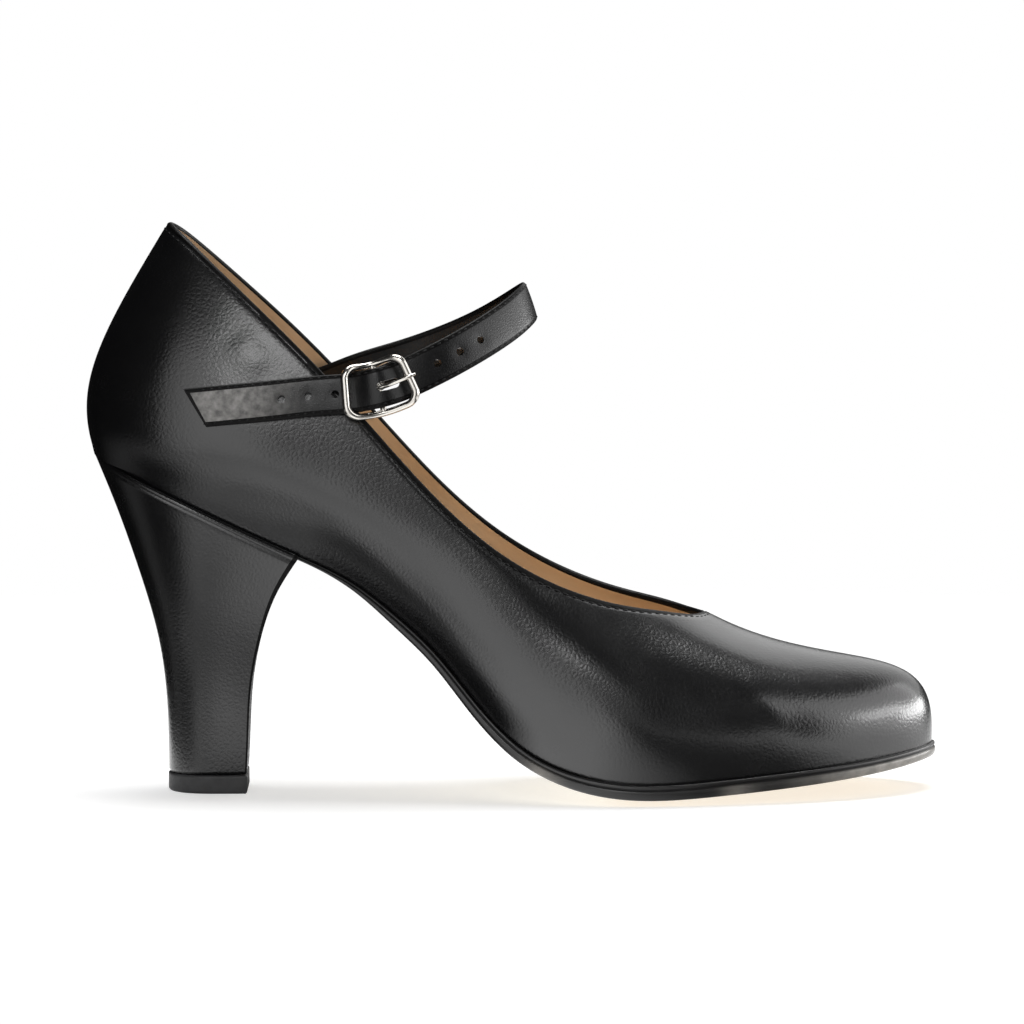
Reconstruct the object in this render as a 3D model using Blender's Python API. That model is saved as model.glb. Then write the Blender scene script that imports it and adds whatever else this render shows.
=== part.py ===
"""Ballroom dance shoe for the right foot: a black leather court shoe with a buckled instep strap,
a covered heel and a leather sole.

Run it in Blender 4.5 with: blender --background --python part.py
The toe points along +X, the outer (lateral) side of the foot is -Y, and the shoe stands on z = 0.
Sizes are in millimetres, and MM turns them into Blender's metres where a mesh is made.
"""

import math
from collections import namedtuple

import bmesh
import bpy
import numpy as np

MM = 0.001

# Driving sizes of the last and of the upper
LENGTH = 218.0  # heel back to toe tip, measured along the floor
BALL_WIDTH = 76.0
SEAT_HEIGHT = 87.0  # floor to the heel seat, at the back
COLLAR_HEIGHT = 146.6  # floor to the collar, at the back
THROAT_HEIGHT = 46.8  # floor to the throat, over the instep's front
SOLE_LEVEL = 5.9  # floor to the upper's lower edge, at the ball
TOE_SPRING = 6.5
CUP = 2.0  # how far the forefoot's bottom bellies below its edges
WALL = 1.8
GAP = 0.3
BED = 0.45  # gap where two curved faces lie one on the other

# Driving sizes of the other pieces
EDGE_ROUND = 0.4  # how far the outsole's edge swells out at half its thickness
INSOLE_THICK = 2.0
INSOLE_INSET = WALL + 0.7
LIFT_THICK = 4.7
STRAP_WIDTH = 10.2
STRAP_THICK = 1.6
TAIL_SLANT = 5.0  # how far the strap's end is cut back across its width
HOLE_RADIUS = 1.0
HOLE_PITCH = 6.8
BUCKLE_HALF_LENGTH = 8.2  # middle of the frame to the middle of its end bar
BUCKLE_HALF_WIDTH = 6.3
BUCKLE_CORNER = 3.0
BUCKLE_WIRE = 0.9  # radius
PRONG_WIRE = 0.5  # radius
TAB_WIDTH = 7.0
TAB_THICK = 0.8

# How fine the meshes are
UPPER_COLUMNS = 88
UPPER_ROWS = 12
RIBS = 44
STRAP_STEPS = 76
WIRE_SIDES = 10

# The upper's sections, from the heel round to the toe. Along and collar_along are percent of LENGTH;
# the lateral and medial columns are percent of BALL_WIDTH, outwards from the middle line; collar_fall
# is the percent of the fall from the collar's back to the throat that is still to come. Flare and rise
# are the wall's way out and up from the sole, reach and drop its way out and down from the collar.
Section = namedtuple(
    "Section",
    "name along lateral medial collar_along collar_lateral collar_medial collar_fall flare rise reach drop",
)
SECTIONS = (
    Section("heel_back", 0.9, 0.0, 0.0, 9.9, 0.0, 0.0, 100.0, 5.6, 17.0, 18.6, 30.6),
    Section("heel_corner", 4.4, 21.8, 21.8, 12.2, 14.5, 14.5, 96.0, 5.5, 17.0, 14.0, 30.0),
    Section("heel_side", 12.8, 30.9, 30.5, 18.8, 26.1, 26.1, 82.7, 6.0, 17.0, 10.0, 26.0),
    Section("breast", 25.2, 29.7, 27.4, 29.1, 34.9, 33.6, 60.2, 7.0, 15.0, 5.0, 20.0),
    Section("waist", 40.4, 31.3, 21.7, 40.8, 39.5, 36.2, 31.9, 9.0, 12.0, 3.0, 13.0),
    Section("joint_back", 53.7, 42.1, 31.6, 50.9, 39.5, 37.5, 14.1, 8.0, 16.0, 6.0, 13.0),
    Section("ball", 65.1, 47.4, 42.8, 60.1, 32.9, 32.2, 5.2, 5.0, 20.0, 10.0, 13.0),
    Section("toe_joint", 80.7, 38.8, 39.5, 67.0, 21.7, 22.4, 1.8, 4.0, 18.0, 18.0, 13.0),
    Section("toe_corner", 93.1, 21.1, 28.3, 70.6, 10.9, 11.8, 0.2, 3.0, 22.0, 27.0, 17.0),
    Section("toe_tip", 99.4, -5.3, 5.3, 71.9, -1.3, 1.3, 0.0, 2.2, 30.0, 34.0, 20.0),
)
TOE = len(SECTIONS) - 1  # the toe tip's place on the way round; the heel's back is 0
ROUND = 2 * TOE
BREAST = 3  # the heel's front, on the way round

# The last's bottom line from the side: along is percent of LENGTH, climb is percent of the way up to
# the heel seat, spring is percent of the toe spring, sole is the outsole's thickness and edge is how
# far the outsole stands out past the upper's lower edge.
Bottom = namedtuple("Bottom", "along climb spring sole edge")
BOTTOM = (
    Bottom(0.9, 100.0, 0.0, 2.6, -0.6),
    Bottom(12.8, 85.2, 0.0, 2.6, -0.6),
    Bottom(25.2, 69.7, 0.0, 2.6, -0.6),
    Bottom(32.1, 60.1, 0.0, 2.6, -0.6),
    Bottom(36.7, 50.4, 0.0, 2.6, -0.5),
    Bottom(41.3, 38.6, 0.0, 2.6, -0.3),
    Bottom(45.9, 23.6, 0.0, 2.8, 0.0),
    Bottom(50.5, 11.5, 0.0, 3.2, 0.4),
    Bottom(55.0, 4.9, 0.0, 3.6, 0.8),
    Bottom(59.6, 1.5, 0.0, 3.9, 1.0),
    Bottom(65.6, 0.0, 0.0, 4.0, 1.1),
    Bottom(73.4, 0.0, 12.0, 4.0, 1.2),
    Bottom(82.6, 0.0, 38.0, 4.0, 1.2),
    Bottom(89.9, 0.0, 60.0, 3.8, 1.2),
    Bottom(95.0, 0.0, 79.0, 3.6, 0.9),
    Bottom(99.4, 0.0, 100.0, 3.4, 0.5),
)
CUP_STARTS = 40.0  # percent of LENGTH
CUP_FULL = 56.0
CUP_WIDTH = 0.8  # narrower than this share of BALL_WIDTH, the belly is less deep

# The heel block's levels: share of the way from the top piece to the seat, the back and breast along
# the shoe, and half the width.
Level = namedtuple("Level", "share back breast half_width")
HEEL_LEVELS = (
    Level(0.0, 20.8, 41.0, 11.0),
    Level(0.15, 20.6, 41.4, 11.2),
    Level(0.40, 18.5, 42.3, 13.0),
    Level(0.65, 12.8, 45.3, 17.2),
    Level(0.85, 7.0, 49.6, 20.8),
    Level(1.0, 2.0, 55.0, 23.5),
)
HEEL_RINGS = 13

# The strap's route from its free end: first along the outside of the lateral quarter, then free over
# the instep, then down inside the medial quarter. Lean is how far its face looks up, in degrees.
Rest = namedtuple("Rest", "x z")
TAIL_ON_QUARTER = (Rest(26.5, 100.0), Rest(38.0, 101.2), Rest(50.0, 102.4), Rest(60.0, 103.4))
END_IN_QUARTER = (Rest(61.0, 102.6), Rest(52.0, 99.6))
Free = namedtuple("Free", "x y z lean")
OVER_INSTEP = (
    Free(75.0, -28.9, 105.4, 9.0),
    Free(84.0, -28.0, 108.8, 11.0),
    Free(92.5, -25.0, 112.8, 13.0),
    Free(102.0, -18.6, 117.8, 16.0),
    Free(110.0, -9.6, 122.8, 18.0),
    Free(113.2, 0.5, 125.4, 19.0),
    Free(110.0, 10.4, 122.8, 18.0),
    Free(102.5, 18.2, 117.8, 16.0),
    Free(92.0, 22.6, 112.8, 13.0),
    Free(80.0, 23.8, 108.6, 10.0),
    Free(70.0, 22.6, 105.6, 9.0),
)
BUCKLE_REST = len(TAIL_ON_QUARTER)  # the route point that the buckle's middle sits on
STRAP_LIFT = 2.6  # how far the strap rises to pass over the buckle's middle bar
LIFT_REACH = 7.0
BAR_LIFT = STRAP_THICK / 2 + GAP + BUCKLE_WIRE  # end bars over the strap
MIDDLE_BAR = STRAP_LIFT - STRAP_THICK / 2 - BED - GAP - TAB_THICK - BUCKLE_WIRE  # middle bar under it
HOLES = (-4, -3, -2, 2, 3, 4)  # strap holes, in pitches from the one that the prong is in
SLOT_MIDDLE = 2.7
SLOT_LENGTH = 5.8
SLOT_RADIUS = 1.25
NOTCH_LENGTH = 6.0  # cut in the buckle's tab for the prong

# Bends of the prong and of the buckle's tab: along the strap from the buckle's middle bar, and out
# from the strap's middle. The tab comes up from inside the collar, goes round the bar and turns back.
Bend = namedtuple("Bend", "along out")
PRONG_BENDS = (
    Bend(1.6, 1.45),
    Bend(3.2, 2.3),
    Bend(4.9, 3.0),
    Bend(6.5, 3.5),
    Bend(8.2, 3.7),
    Bend(9.6, 3.6),
)
TAB_SEWN = (-24.0, -20.0, -16.0, -12.0, -8.0, -5.8)
TAB_INSIDE = -(STRAP_THICK / 2 + WALL + 4 * GAP + TAB_THICK / 2)
TAB_OUT_OF_COLLAR = (Bend(-3.6, -3.2), Bend(-1.6, -2.2))
TAB_BACK = (Bend(-1.6, 0.7), Bend(-3.0, 0.0), Bend(-4.6, -1.1))


class Curve:
    """A smooth curve through points, with no jump in its bend: round a loop, or open with free ends."""

    def __init__(self, marks, points, closed=False):
        self.marks = np.asarray(marks, float)
        values = np.asarray(points, float)
        self.closed = closed
        self.values = np.vstack([values, values[:1]]) if closed else values
        self.bends = self.solve()

    def solve(self):
        step = np.diff(self.marks)
        slope = np.diff(self.values, axis=0) / step[:, None]
        count = len(self.marks)
        matrix = np.eye(count)
        wanted = np.zeros_like(self.values)
        for i in range(1, count - 1):
            matrix[i, i - 1 : i + 2] = step[i - 1] / 6, (step[i - 1] + step[i]) / 3, step[i] / 6
            wanted[i] = slope[i] - slope[i - 1]
        if self.closed:
            matrix[0, :2] = (step[-1] + step[0]) / 3, step[0] / 6
            matrix[0, -2] = step[-1] / 6
            wanted[0] = slope[0] - slope[-1]
            matrix[-1, 0] = -1.0
        return np.linalg.solve(matrix, wanted)

    def at(self, mark):
        mark = np.asarray(mark, float)
        if self.closed:
            mark = self.marks[0] + (mark - self.marks[0]) % (self.marks[-1] - self.marks[0])
        i = np.clip(np.searchsorted(self.marks, mark, side="right") - 1, 0, len(self.marks) - 2)
        step = (self.marks[i + 1] - self.marks[i])[..., None]
        after = (mark - self.marks[i])[..., None] / step
        before = 1.0 - after
        straight = before * self.values[i] + after * self.values[i + 1]
        bend = (before**3 - before) * self.bends[i] + (after**3 - after) * self.bends[i + 1]
        return straight + bend * step**2 / 6

    def way(self, mark, nudge=1e-3):
        """The unit direction along the curve."""
        return unit(self.at(np.asarray(mark) + nudge) - self.at(np.asarray(mark) - nudge))


def unit(vectors):
    return vectors / np.linalg.norm(vectors, axis=-1, keepdims=True)


def outward_in_plan(way):
    """The level direction to the right of the way round, which is away from the foot."""
    level = np.stack([way[..., 1], -way[..., 0], np.zeros_like(way[..., 0])], axis=-1)
    return unit(level)


# The last's bottom

BOTTOM_LINE = Curve(
    [row.along * LENGTH / 100 for row in BOTTOM],
    [
        (
            SOLE_LEVEL + row.climb / 100 * (SEAT_HEIGHT - SOLE_LEVEL) + row.spring / 100 * TOE_SPRING,
            row.sole,
            row.edge,
        )
        for row in BOTTOM
    ],
)


def bottom_at(x):
    """Height of the upper's lower edge, the outsole's thickness and how far it stands out."""
    height, sole, edge = np.moveaxis(BOTTOM_LINE.at(x), -1, 0)
    return height, sole, edge


def cup_at(x):
    share = np.clip((x / LENGTH * 100 - CUP_STARTS) / (CUP_FULL - CUP_STARTS), 0, 1)
    return CUP * share**2 * (3 - 2 * share)


# The upper's surface


def section_rows(side):
    """Each section's lower edge, collar and handles on one side of the shoe: -1 is lateral, 1 medial."""
    rows = []
    for row in SECTIONS:
        half, collar_half = row.lateral, row.collar_lateral
        if side > 0:
            half, collar_half = row.medial, row.collar_medial
        along = row.along / 100 * LENGTH
        collar_along = row.collar_along / 100 * LENGTH
        collar_height = THROAT_HEIGHT + row.collar_fall / 100 * (COLLAR_HEIGHT - THROAT_HEIGHT)
        lower = (along, side * half / 100 * BALL_WIDTH, bottom_at(along)[0])
        collar = (collar_along, side * collar_half / 100 * BALL_WIDTH, collar_height)
        rows.append((*lower, *collar, row.flare, row.rise, row.reach, row.drop))
    return rows


def rails():
    """The four closed curves that steer the upper: lower edge, wall, shoulder and collar."""
    rows = np.array(section_rows(-1) + section_rows(1)[-2:0:-1])
    lower, collar, handles = np.split(rows, (3, 6), axis=1)
    flare, rise, reach, drop = handles.T[..., None]
    marks = np.arange(ROUND + 1)
    lower_edge = Curve(marks, lower, closed=True)
    collar_edge = Curve(marks, collar, closed=True)
    up = np.array([0.0, 0.0, 1.0])
    wall = lower + flare * outward_in_plan(lower_edge.way(marks[:-1])) + rise * up
    shoulder = collar + reach * outward_in_plan(collar_edge.way(marks[:-1])) - drop * up
    return lower_edge, Curve(marks, wall, closed=True), Curve(marks, shoulder, closed=True), collar_edge


LOWER_EDGE, WALL_RAIL, SHOULDER_RAIL, COLLAR_EDGE = rails()


def lower_edge(place):
    """The upper's lower edge, kept on the last's bottom line between the sections."""
    point = LOWER_EDGE.at(place)
    point[..., 2] = bottom_at(point[..., 0])[0]
    return point


def upper_at(place, up):
    """A point of the upper's outside: place runs round the shoe, up from 0 at the sole to 1 at the collar."""
    up = np.asarray(up, float)[..., None]
    low = 1 - up
    return (
        low**3 * lower_edge(place)
        + 3 * low**2 * up * WALL_RAIL.at(place)
        + 3 * low * up**2 * SHOULDER_RAIL.at(place)
        + up**3 * COLLAR_EDGE.at(place)
    )


def upper_normal(place, up, nudge=1e-3):
    along = upper_at(place + nudge, up) - upper_at(place - nudge, up)
    rising = upper_at(place, np.minimum(up + nudge, 1.0)) - upper_at(place, np.maximum(up - nudge, 0.0))
    return unit(np.cross(along, rising))


def on_quarter(x, z, medial=False):
    """The point of the lateral or medial quarter at this place in the side view, and its normal."""
    place, up, span = TOE / 2, 0.5, 0.5
    for _ in range(24):
        places = place + np.linspace(-span, span, 9) * TOE
        ups = np.clip(up + np.linspace(-span, span, 9), 0, 1)
        grid_place, grid_up = np.meshgrid(np.clip(places, 0, TOE), ups)
        grid_round = ROUND - grid_place if medial else grid_place
        points = upper_at(grid_round, grid_up)
        miss = np.hypot(points[..., 0] - x, points[..., 2] - z)
        best = np.unravel_index(np.argmin(miss), miss.shape)
        place, up = grid_place[best], grid_up[best]
        span *= 0.6
    place = ROUND - place if medial else place
    return upper_at(place, up), upper_normal(np.array(place), np.array(up))


# The strap's own coordinates


def strap_route():
    """Points along the strap's middle with the lean of its face, from the free end to the sewn end."""
    rows = []
    for rest in TAIL_ON_QUARTER:
        point, normal = on_quarter(rest.x, rest.z)
        rows.append([*(point + normal * (GAP + STRAP_THICK / 2)), math.degrees(math.asin(normal[2]))])
    rows.extend(OVER_INSTEP)
    for rest in END_IN_QUARTER:
        point, normal = on_quarter(rest.x, rest.z, medial=True)
        rows.append([*(point - normal * (WALL + 2 * BED + STRAP_THICK / 2)), math.degrees(math.asin(normal[2]))])
    rows = np.array(rows, float)
    marks = np.concatenate([[0], np.cumsum(np.linalg.norm(np.diff(rows[:, :3], axis=0), axis=1))])
    return Curve(marks, rows)


ROUTE = strap_route()
BUCKLE_MARK = ROUTE.marks[BUCKLE_REST]


def by_strap(along, across, out):
    """A point given along the strap from the buckle's middle, across it (up) and out from its middle."""
    mark = BUCKLE_MARK + np.asarray(along, float)
    row = ROUTE.at(mark)
    way = unit(ROUTE.at(mark + 0.01)[..., :3] - ROUTE.at(mark - 0.01)[..., :3])
    lean = np.radians(row[..., 3:])
    face = np.cos(lean) * outward_in_plan(way) + np.sin(lean) * np.array([0.0, 0.0, 1.0])
    face = unit(face - way * np.sum(face * way, axis=-1, keepdims=True))
    side = np.cross(face, way)
    return row[..., :3] + side * np.asarray(across)[..., None] + face * np.asarray(out)[..., None]


def strap_lift(along):
    """How far the strap rises to clear the buckle's middle bar."""
    share = np.clip(1 - (np.asarray(along) / LIFT_REACH) ** 2, 0, 1)
    return STRAP_LIFT * share**2


# Making meshes


def finish(name, colour, roughness, metallic=0.0):
    """A plain material; the colour is linear red, green and blue."""
    material = bpy.data.materials.new(name)
    material.use_nodes = True
    shader = material.node_tree.nodes["Principled BSDF"]
    shader.inputs["Base Color"].default_value = (*colour, 1.0)
    shader.inputs["Roughness"].default_value = roughness
    shader.inputs["Metallic"].default_value = metallic
    return material


def place_object(name, mesh_builder, material, parent):
    """Turns a bmesh into a smooth-shaded object under the shoe's empty."""
    bmesh.ops.recalc_face_normals(mesh_builder, faces=mesh_builder.faces)
    mesh = bpy.data.meshes.new(name)
    mesh_builder.to_mesh(mesh)
    mesh_builder.free()
    mesh.shade_smooth()
    mesh.set_sharp_from_angle(angle=math.radians(40))
    mesh.materials.append(material)
    obj = bpy.data.objects.new(name, mesh)
    obj.parent = parent
    bpy.context.scene.collection.objects.link(obj)
    return obj


def skin(rings, ring_of_rings=False):
    """A closed skin over rings of points in millimetres, with a face over each open end."""
    built = bmesh.new()
    loops = [[built.verts.new(np.asarray(point) * MM) for point in ring] for ring in rings]
    pairs = list(zip(loops, loops[1:]))
    if ring_of_rings:
        pairs.append((loops[-1], loops[0]))
    for ring, after in pairs:
        for i in range(len(ring)):
            built.faces.new((ring[i - 1], ring[i], after[i], after[i - 1]))
    if not ring_of_rings:
        built.faces.new(loops[0])
        built.faces.new(loops[-1])
    return built


def boolean(obj, other, operation):
    """Cuts the other shape out of obj or joins it on, and keeps the other as a hidden guide."""
    other.hide_render = True
    other.display_type = "WIRE"
    modifier = obj.modifiers.new(operation.lower(), "BOOLEAN")
    modifier.operation = operation
    modifier.object = other


# The pieces


def make_upper(parent, leather):
    """One hollow wall, open at the collar and throat and underneath."""
    built = bmesh.new()
    bmesh.ops.create_grid(built, x_segments=UPPER_COLUMNS, y_segments=UPPER_ROWS, size=0.5)
    for vert in built.verts:
        place = (vert.co.x + 0.5) * ROUND
        vert.co = upper_at(np.array(place), np.array(vert.co.y + 0.5)) * MM
    bmesh.ops.remove_doubles(built, verts=built.verts, dist=1e-6)
    obj = place_object("upper", built, leather, parent)
    wall = obj.modifiers.new("wall", "SOLIDIFY")
    wall.thickness = WALL * MM
    wall.offset = -1.0
    wall.use_even_offset = True
    return obj


def rib(place, out, across):
    """Points across the last's bottom between the lateral and medial edges, moved out or in."""
    lateral, medial = (
        lower_edge(np.array(at)) + out * outward_in_plan(LOWER_EDGE.way(at)) for at in (place, ROUND - place)
    )
    share = np.asarray(across)[:, None]
    points = lateral + (medial - lateral) * share
    wide = np.linalg.norm(medial - lateral) / BALL_WIDTH
    belly = cup_at(points[:, 0]) * np.minimum(1, wide / CUP_WIDTH) ** 2
    points[:, 2] = bottom_at(points[:, 0])[0] - belly * 4 * across * (1 - across)
    return points


def bottom_tilt(x, nudge=0.5):
    """How much thicker a layer on the sloping bottom line measures straight down."""
    slope = (bottom_at(x + nudge)[0] - bottom_at(x - nudge)[0]) / (2 * nudge)
    return np.sqrt(1 + slope**2)


def rib_places(first, last):
    """Places from first to last, closer together towards the toe's round end."""
    share = np.linspace(0, 1, RIBS)
    return first + (last - first) * (share + 0.12 * np.sin(math.pi * share))


def make_outsole(parent, leather):
    """From the heel's breast to the toe: a thin waist, a rounded edge, and a flat spot under the ball."""
    across = np.linspace(0, 1, 9)
    rings = []
    for place in rib_places(BREAST + 0.03, TOE - 0.04):
        _, sole, edge = bottom_at(lower_edge(np.array(place))[0])
        top = rib(place, edge - EDGE_ROUND, across)
        middle = rib(place, edge + EDGE_ROUND, np.array([0.0, 1.0]))
        under = rib(place, edge - EDGE_ROUND, across)
        top[:, 2] -= BED
        middle[:, 2] -= BED + 0.5 * sole * bottom_tilt(middle[:, 0])
        under[:, 2] -= BED + sole * bottom_tilt(under[:, 0])
        under[:, 2] = np.maximum(under[:, 2], 0)
        rings.append([*top, middle[1], *under[::-1], middle[0]])
    return place_object("outsole", skin(rings), leather, parent)


def make_insole(parent, leather):
    """The sock that the foot stands on, from heel to toe inside the upper's wall."""
    across = np.linspace(0, 1, 7)
    rings = []
    for place in rib_places(0.2, TOE - 0.1):
        under = rib(place, -INSOLE_INSET, across)
        under[:, 2] += BED - GAP
        top = under.copy()
        top[:, 2] += INSOLE_THICK * bottom_tilt(top[:, 0])
        rings.append([*top, *under[::-1]])
    return place_object("insole", skin(rings), leather, parent)


def seat_outline():
    """The heel seat seen from above: the upper's lower edge from breast to breast, round the back."""
    return lower_edge(np.linspace(-BREAST, BREAST, 33))


def heel_ring(share, back, breast, half_width):
    """The seat's outline squeezed to one level of the heel block."""
    ring = seat_outline()
    first, last = ring[:, 0].min(), ring[:, 0].max()
    seat = ring[:, 2] - GAP
    low = LIFT_THICK + GAP
    ring[:, 0] = back + (ring[:, 0] - first) / (last - first) * (breast - back)
    ring[:, 1] *= half_width / HEEL_LEVELS[-1].half_width
    ring[:, 2] = low + share * (seat - low)
    return ring


def make_heel(parent, leather):
    """The covered heel block, curved in at the back and hollowed down its breast."""
    levels = Curve([level.share for level in HEEL_LEVELS], [level[1:] for level in HEEL_LEVELS])
    rings = [heel_ring(share, *levels.at(share)) for share in np.linspace(0, 1, HEEL_RINGS)]
    return place_object("heel", skin(rings), leather, parent)


def make_top_piece(parent, rubber):
    """The heel's wearing tip, flat on the floor."""
    outline = heel_ring(*HEEL_LEVELS[0])
    rings = []
    for height in (0.0, LIFT_THICK):
        ring = outline.copy()
        ring[:, 2] = height
        rings.append(ring)
    return place_object("top_piece", skin(rings), rubber, parent)


def strap_rings(first, last, steps, width, thick, lift):
    """Rings of a flat strip with eased edges along the strap's route."""
    half, ease, deep = width / 2, 0.25 * thick, thick / 2
    outline = np.array([
        (half - ease, deep), (half, deep - ease), (half, ease - deep), (half - ease, -deep),
        (ease - half, -deep), (-half, ease - deep), (-half, deep - ease), (ease - half, deep),
    ])
    for along in np.linspace(first, last, steps):
        cut = np.clip(1 - (along - first) / (2 * TAIL_SLANT), 0, 1) * TAIL_SLANT
        at = along + cut * (0.5 - outline[:, 0] / width)
        yield by_strap(at, outline[:, 0], outline[:, 1] + lift(at))


def round_cutter(along, length, radius, depth):
    """A round-ended peg through the strap."""
    turn = np.linspace(0, 2 * math.pi, 16, endpoint=False) + math.pi / 16
    straight = np.sign(np.cos(turn)) * (length / 2 - radius)
    at = along + straight + radius * np.cos(turn)
    across = radius * np.sin(turn)
    return skin([by_strap(at, across, np.full(len(turn), out)) for out in (-depth, depth)])


def make_strap(parent, leather):
    """From the free end on the lateral quarter, through the buckle, over the instep to the medial side."""
    first = ROUTE.marks[0] - BUCKLE_MARK
    last = ROUTE.marks[-1] - BUCKLE_MARK
    rings = list(strap_rings(first, last, STRAP_STEPS, STRAP_WIDTH, STRAP_THICK, strap_lift))
    obj = place_object("strap", skin(rings), leather, parent)
    pegs = [(SLOT_MIDDLE + pitch * HOLE_PITCH, 2 * HOLE_RADIUS, HOLE_RADIUS) for pitch in HOLES]
    pegs.append((SLOT_MIDDLE, SLOT_LENGTH, SLOT_RADIUS))
    for number, (along, length, radius) in enumerate(pegs):
        peg = round_cutter(along, length, radius, 2 * STRAP_THICK)
        boolean(obj, place_object(f"strap_hole_{number}", peg, leather, parent), "DIFFERENCE")
    return obj


def wire_rings(points, radius, closed=False):
    """Round rings square to a path in the strap's coordinates (along, across, out)."""
    path = np.array([by_strap(*point) for point in points])
    ahead = np.roll(path, -1, axis=0) if closed else np.vstack([path[1:], 2 * path[-1] - path[-2]])
    behind = np.roll(path, 1, axis=0) if closed else np.vstack([2 * path[0] - path[1], path[:-1]])
    way = unit(ahead - behind)
    turn = np.linspace(0, 2 * math.pi, WIRE_SIDES, endpoint=False)[:, None]
    side = np.cross(way[0], by_strap(0.0, 0.0, 1.0) - by_strap(0.0, 0.0, 0.0))
    for point, heading in zip(path, way):
        side = unit(side - heading * np.dot(side, heading))
        yield point + radius * (np.cos(turn) * side + np.sin(turn) * np.cross(heading, side))


def frame_path():
    """The buckle frame's rounded rectangle, dipping between its end bars to its middle bar."""
    points = []
    for quarter, (end, side) in enumerate(((1, 1), (-1, 1), (-1, -1), (1, -1))):
        for turn in np.radians(np.linspace(0, 90, 6) + 90 * quarter):
            along = end * (BUCKLE_HALF_LENGTH - BUCKLE_CORNER) + BUCKLE_CORNER * math.cos(turn)
            across = side * (BUCKLE_HALF_WIDTH - BUCKLE_CORNER) + BUCKLE_CORNER * math.sin(turn)
            points.append((along, across))
        if quarter in (0, 2):
            rim = points[-1][1]
            run = end * (BUCKLE_HALF_LENGTH - BUCKLE_CORNER)
            points.extend((run * share, rim) for share in (0.6, 0.3, 0.0, -0.3, -0.6))
    dip = [(1 - min(1.0, (along / BUCKLE_HALF_LENGTH) ** 2)) ** 3 for along, _ in points]
    return [(*point, BAR_LIFT - low * (BAR_LIFT - MIDDLE_BAR)) for point, low in zip(points, dip)]


def make_buckle_frame(parent, nickel):
    """A curved wire frame with its middle bar."""
    frame = place_object(
        "buckle_frame", skin(list(wire_rings(frame_path(), BUCKLE_WIRE, closed=True)), True), nickel, parent
    )
    ends = [(0.0, across, MIDDLE_BAR) for across in (-BUCKLE_HALF_WIDTH, BUCKLE_HALF_WIDTH)]
    bar = skin(list(wire_rings(ends, 0.97 * BUCKLE_WIRE)))
    boolean(frame, place_object("buckle_middle_bar", bar, nickel, parent), "UNION")
    return frame


def make_buckle_prong(parent, nickel):
    """A bent wire hooked round the middle bar, up through the strap's hole and on to the end bar."""
    hook = BUCKLE_WIRE + GAP + PRONG_WIRE
    turns = np.radians(np.linspace(-50, -270, 12))
    points = [(hook * math.cos(turn), 0.0, MIDDLE_BAR + hook * math.sin(turn)) for turn in turns]
    points += [(bend.along, 0.0, bend.out) for bend in PRONG_BENDS]
    return place_object("buckle_prong", skin(list(wire_rings(points, PRONG_WIRE))), nickel, parent)


def make_buckle_tab(parent, leather):
    """A leather loop that holds the middle bar, sewn inside the lateral quarter."""
    loop = BUCKLE_WIRE + GAP + TAB_THICK / 2
    turns = np.radians(np.linspace(-90, 90, 9))
    path = [(along, TAB_INSIDE) for along in TAB_SEWN]
    path += [(bend.along, bend.out) for bend in TAB_OUT_OF_COLLAR]
    path += [(loop * math.cos(turn), MIDDLE_BAR + loop * math.sin(turn)) for turn in turns]
    path += [(bend.along, bend.out) for bend in TAB_BACK]
    path = np.array(path)
    way = unit(np.gradient(path, axis=0))
    square = np.stack([-way[:, 1], way[:, 0]], axis=1)
    half = TAB_WIDTH / 2
    rings = []
    for point, normal in zip(path, square):
        face, back = point + normal * TAB_THICK / 2, point - normal * TAB_THICK / 2
        corners = ((face, half), (face, -half), (back, -half), (back, half))
        rings.append([by_strap(at[0], across, at[1]) for at, across in corners])
    obj = place_object("buckle_tab", skin(rings), leather, parent)
    notch = round_cutter(0.0, NOTCH_LENGTH, PRONG_WIRE + BED, NOTCH_LENGTH)
    boolean(obj, place_object("prong_notch", notch, leather, parent), "DIFFERENCE")
    return obj


def stand_on_origin(parent):
    """Moves the shoe so that the middle of its box, on the floor, is the origin."""
    bpy.context.view_layer.update()
    graph = bpy.context.evaluated_depsgraph_get()
    corners = []
    for obj in parent.children:
        if not obj.hide_render:
            mesh = obj.evaluated_get(graph).to_mesh()
            corners.extend(obj.matrix_world @ vert.co for vert in mesh.vertices)
    for axis in (0, 1):
        values = [corner[axis] for corner in corners]
        parent.location[axis] = -(min(values) + max(values)) / 2


def main():
    for obj in list(bpy.data.objects):
        bpy.data.objects.remove(obj)
    shoe = bpy.data.objects.new("shoe", None)
    bpy.context.scene.collection.objects.link(shoe)
    black_leather = finish("black_calf_leather", (0.012, 0.012, 0.013), 0.38)
    strap_leather = finish("black_strap_leather", (0.014, 0.014, 0.015), 0.45)
    heel_leather = finish("black_heel_cover", (0.012, 0.012, 0.013), 0.35)
    sole_leather = finish("cream_sole_leather", (0.72, 0.62, 0.47), 0.7)
    sock_leather = finish("beige_sock_leather", (0.56, 0.40, 0.27), 0.65)
    rubber = finish("black_top_piece_rubber", (0.015, 0.015, 0.016), 0.6)
    nickel = finish("polished_nickel", (0.62, 0.60, 0.57), 0.15, metallic=1.0)
    make_upper(shoe, black_leather)
    make_outsole(shoe, sole_leather)
    make_insole(shoe, sock_leather)
    make_heel(shoe, heel_leather)
    make_top_piece(shoe, rubber)
    make_strap(shoe, strap_leather)
    make_buckle_frame(shoe, nickel)
    make_buckle_prong(shoe, nickel)
    make_buckle_tab(shoe, strap_leather)
    stand_on_origin(shoe)


main()
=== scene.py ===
"""Looks of the ballroom dance shoe: leathers, lining, stitches, ribbed sole, buckle, light and camera.

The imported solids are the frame. Shapes are worked out in millimetres on the shoe's last, where the heel's
back is x = 0, the toe points along +X and the outer (lateral) side is -Y. SHIFT takes them to the frame.
"""

import math
from collections import namedtuple

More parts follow.
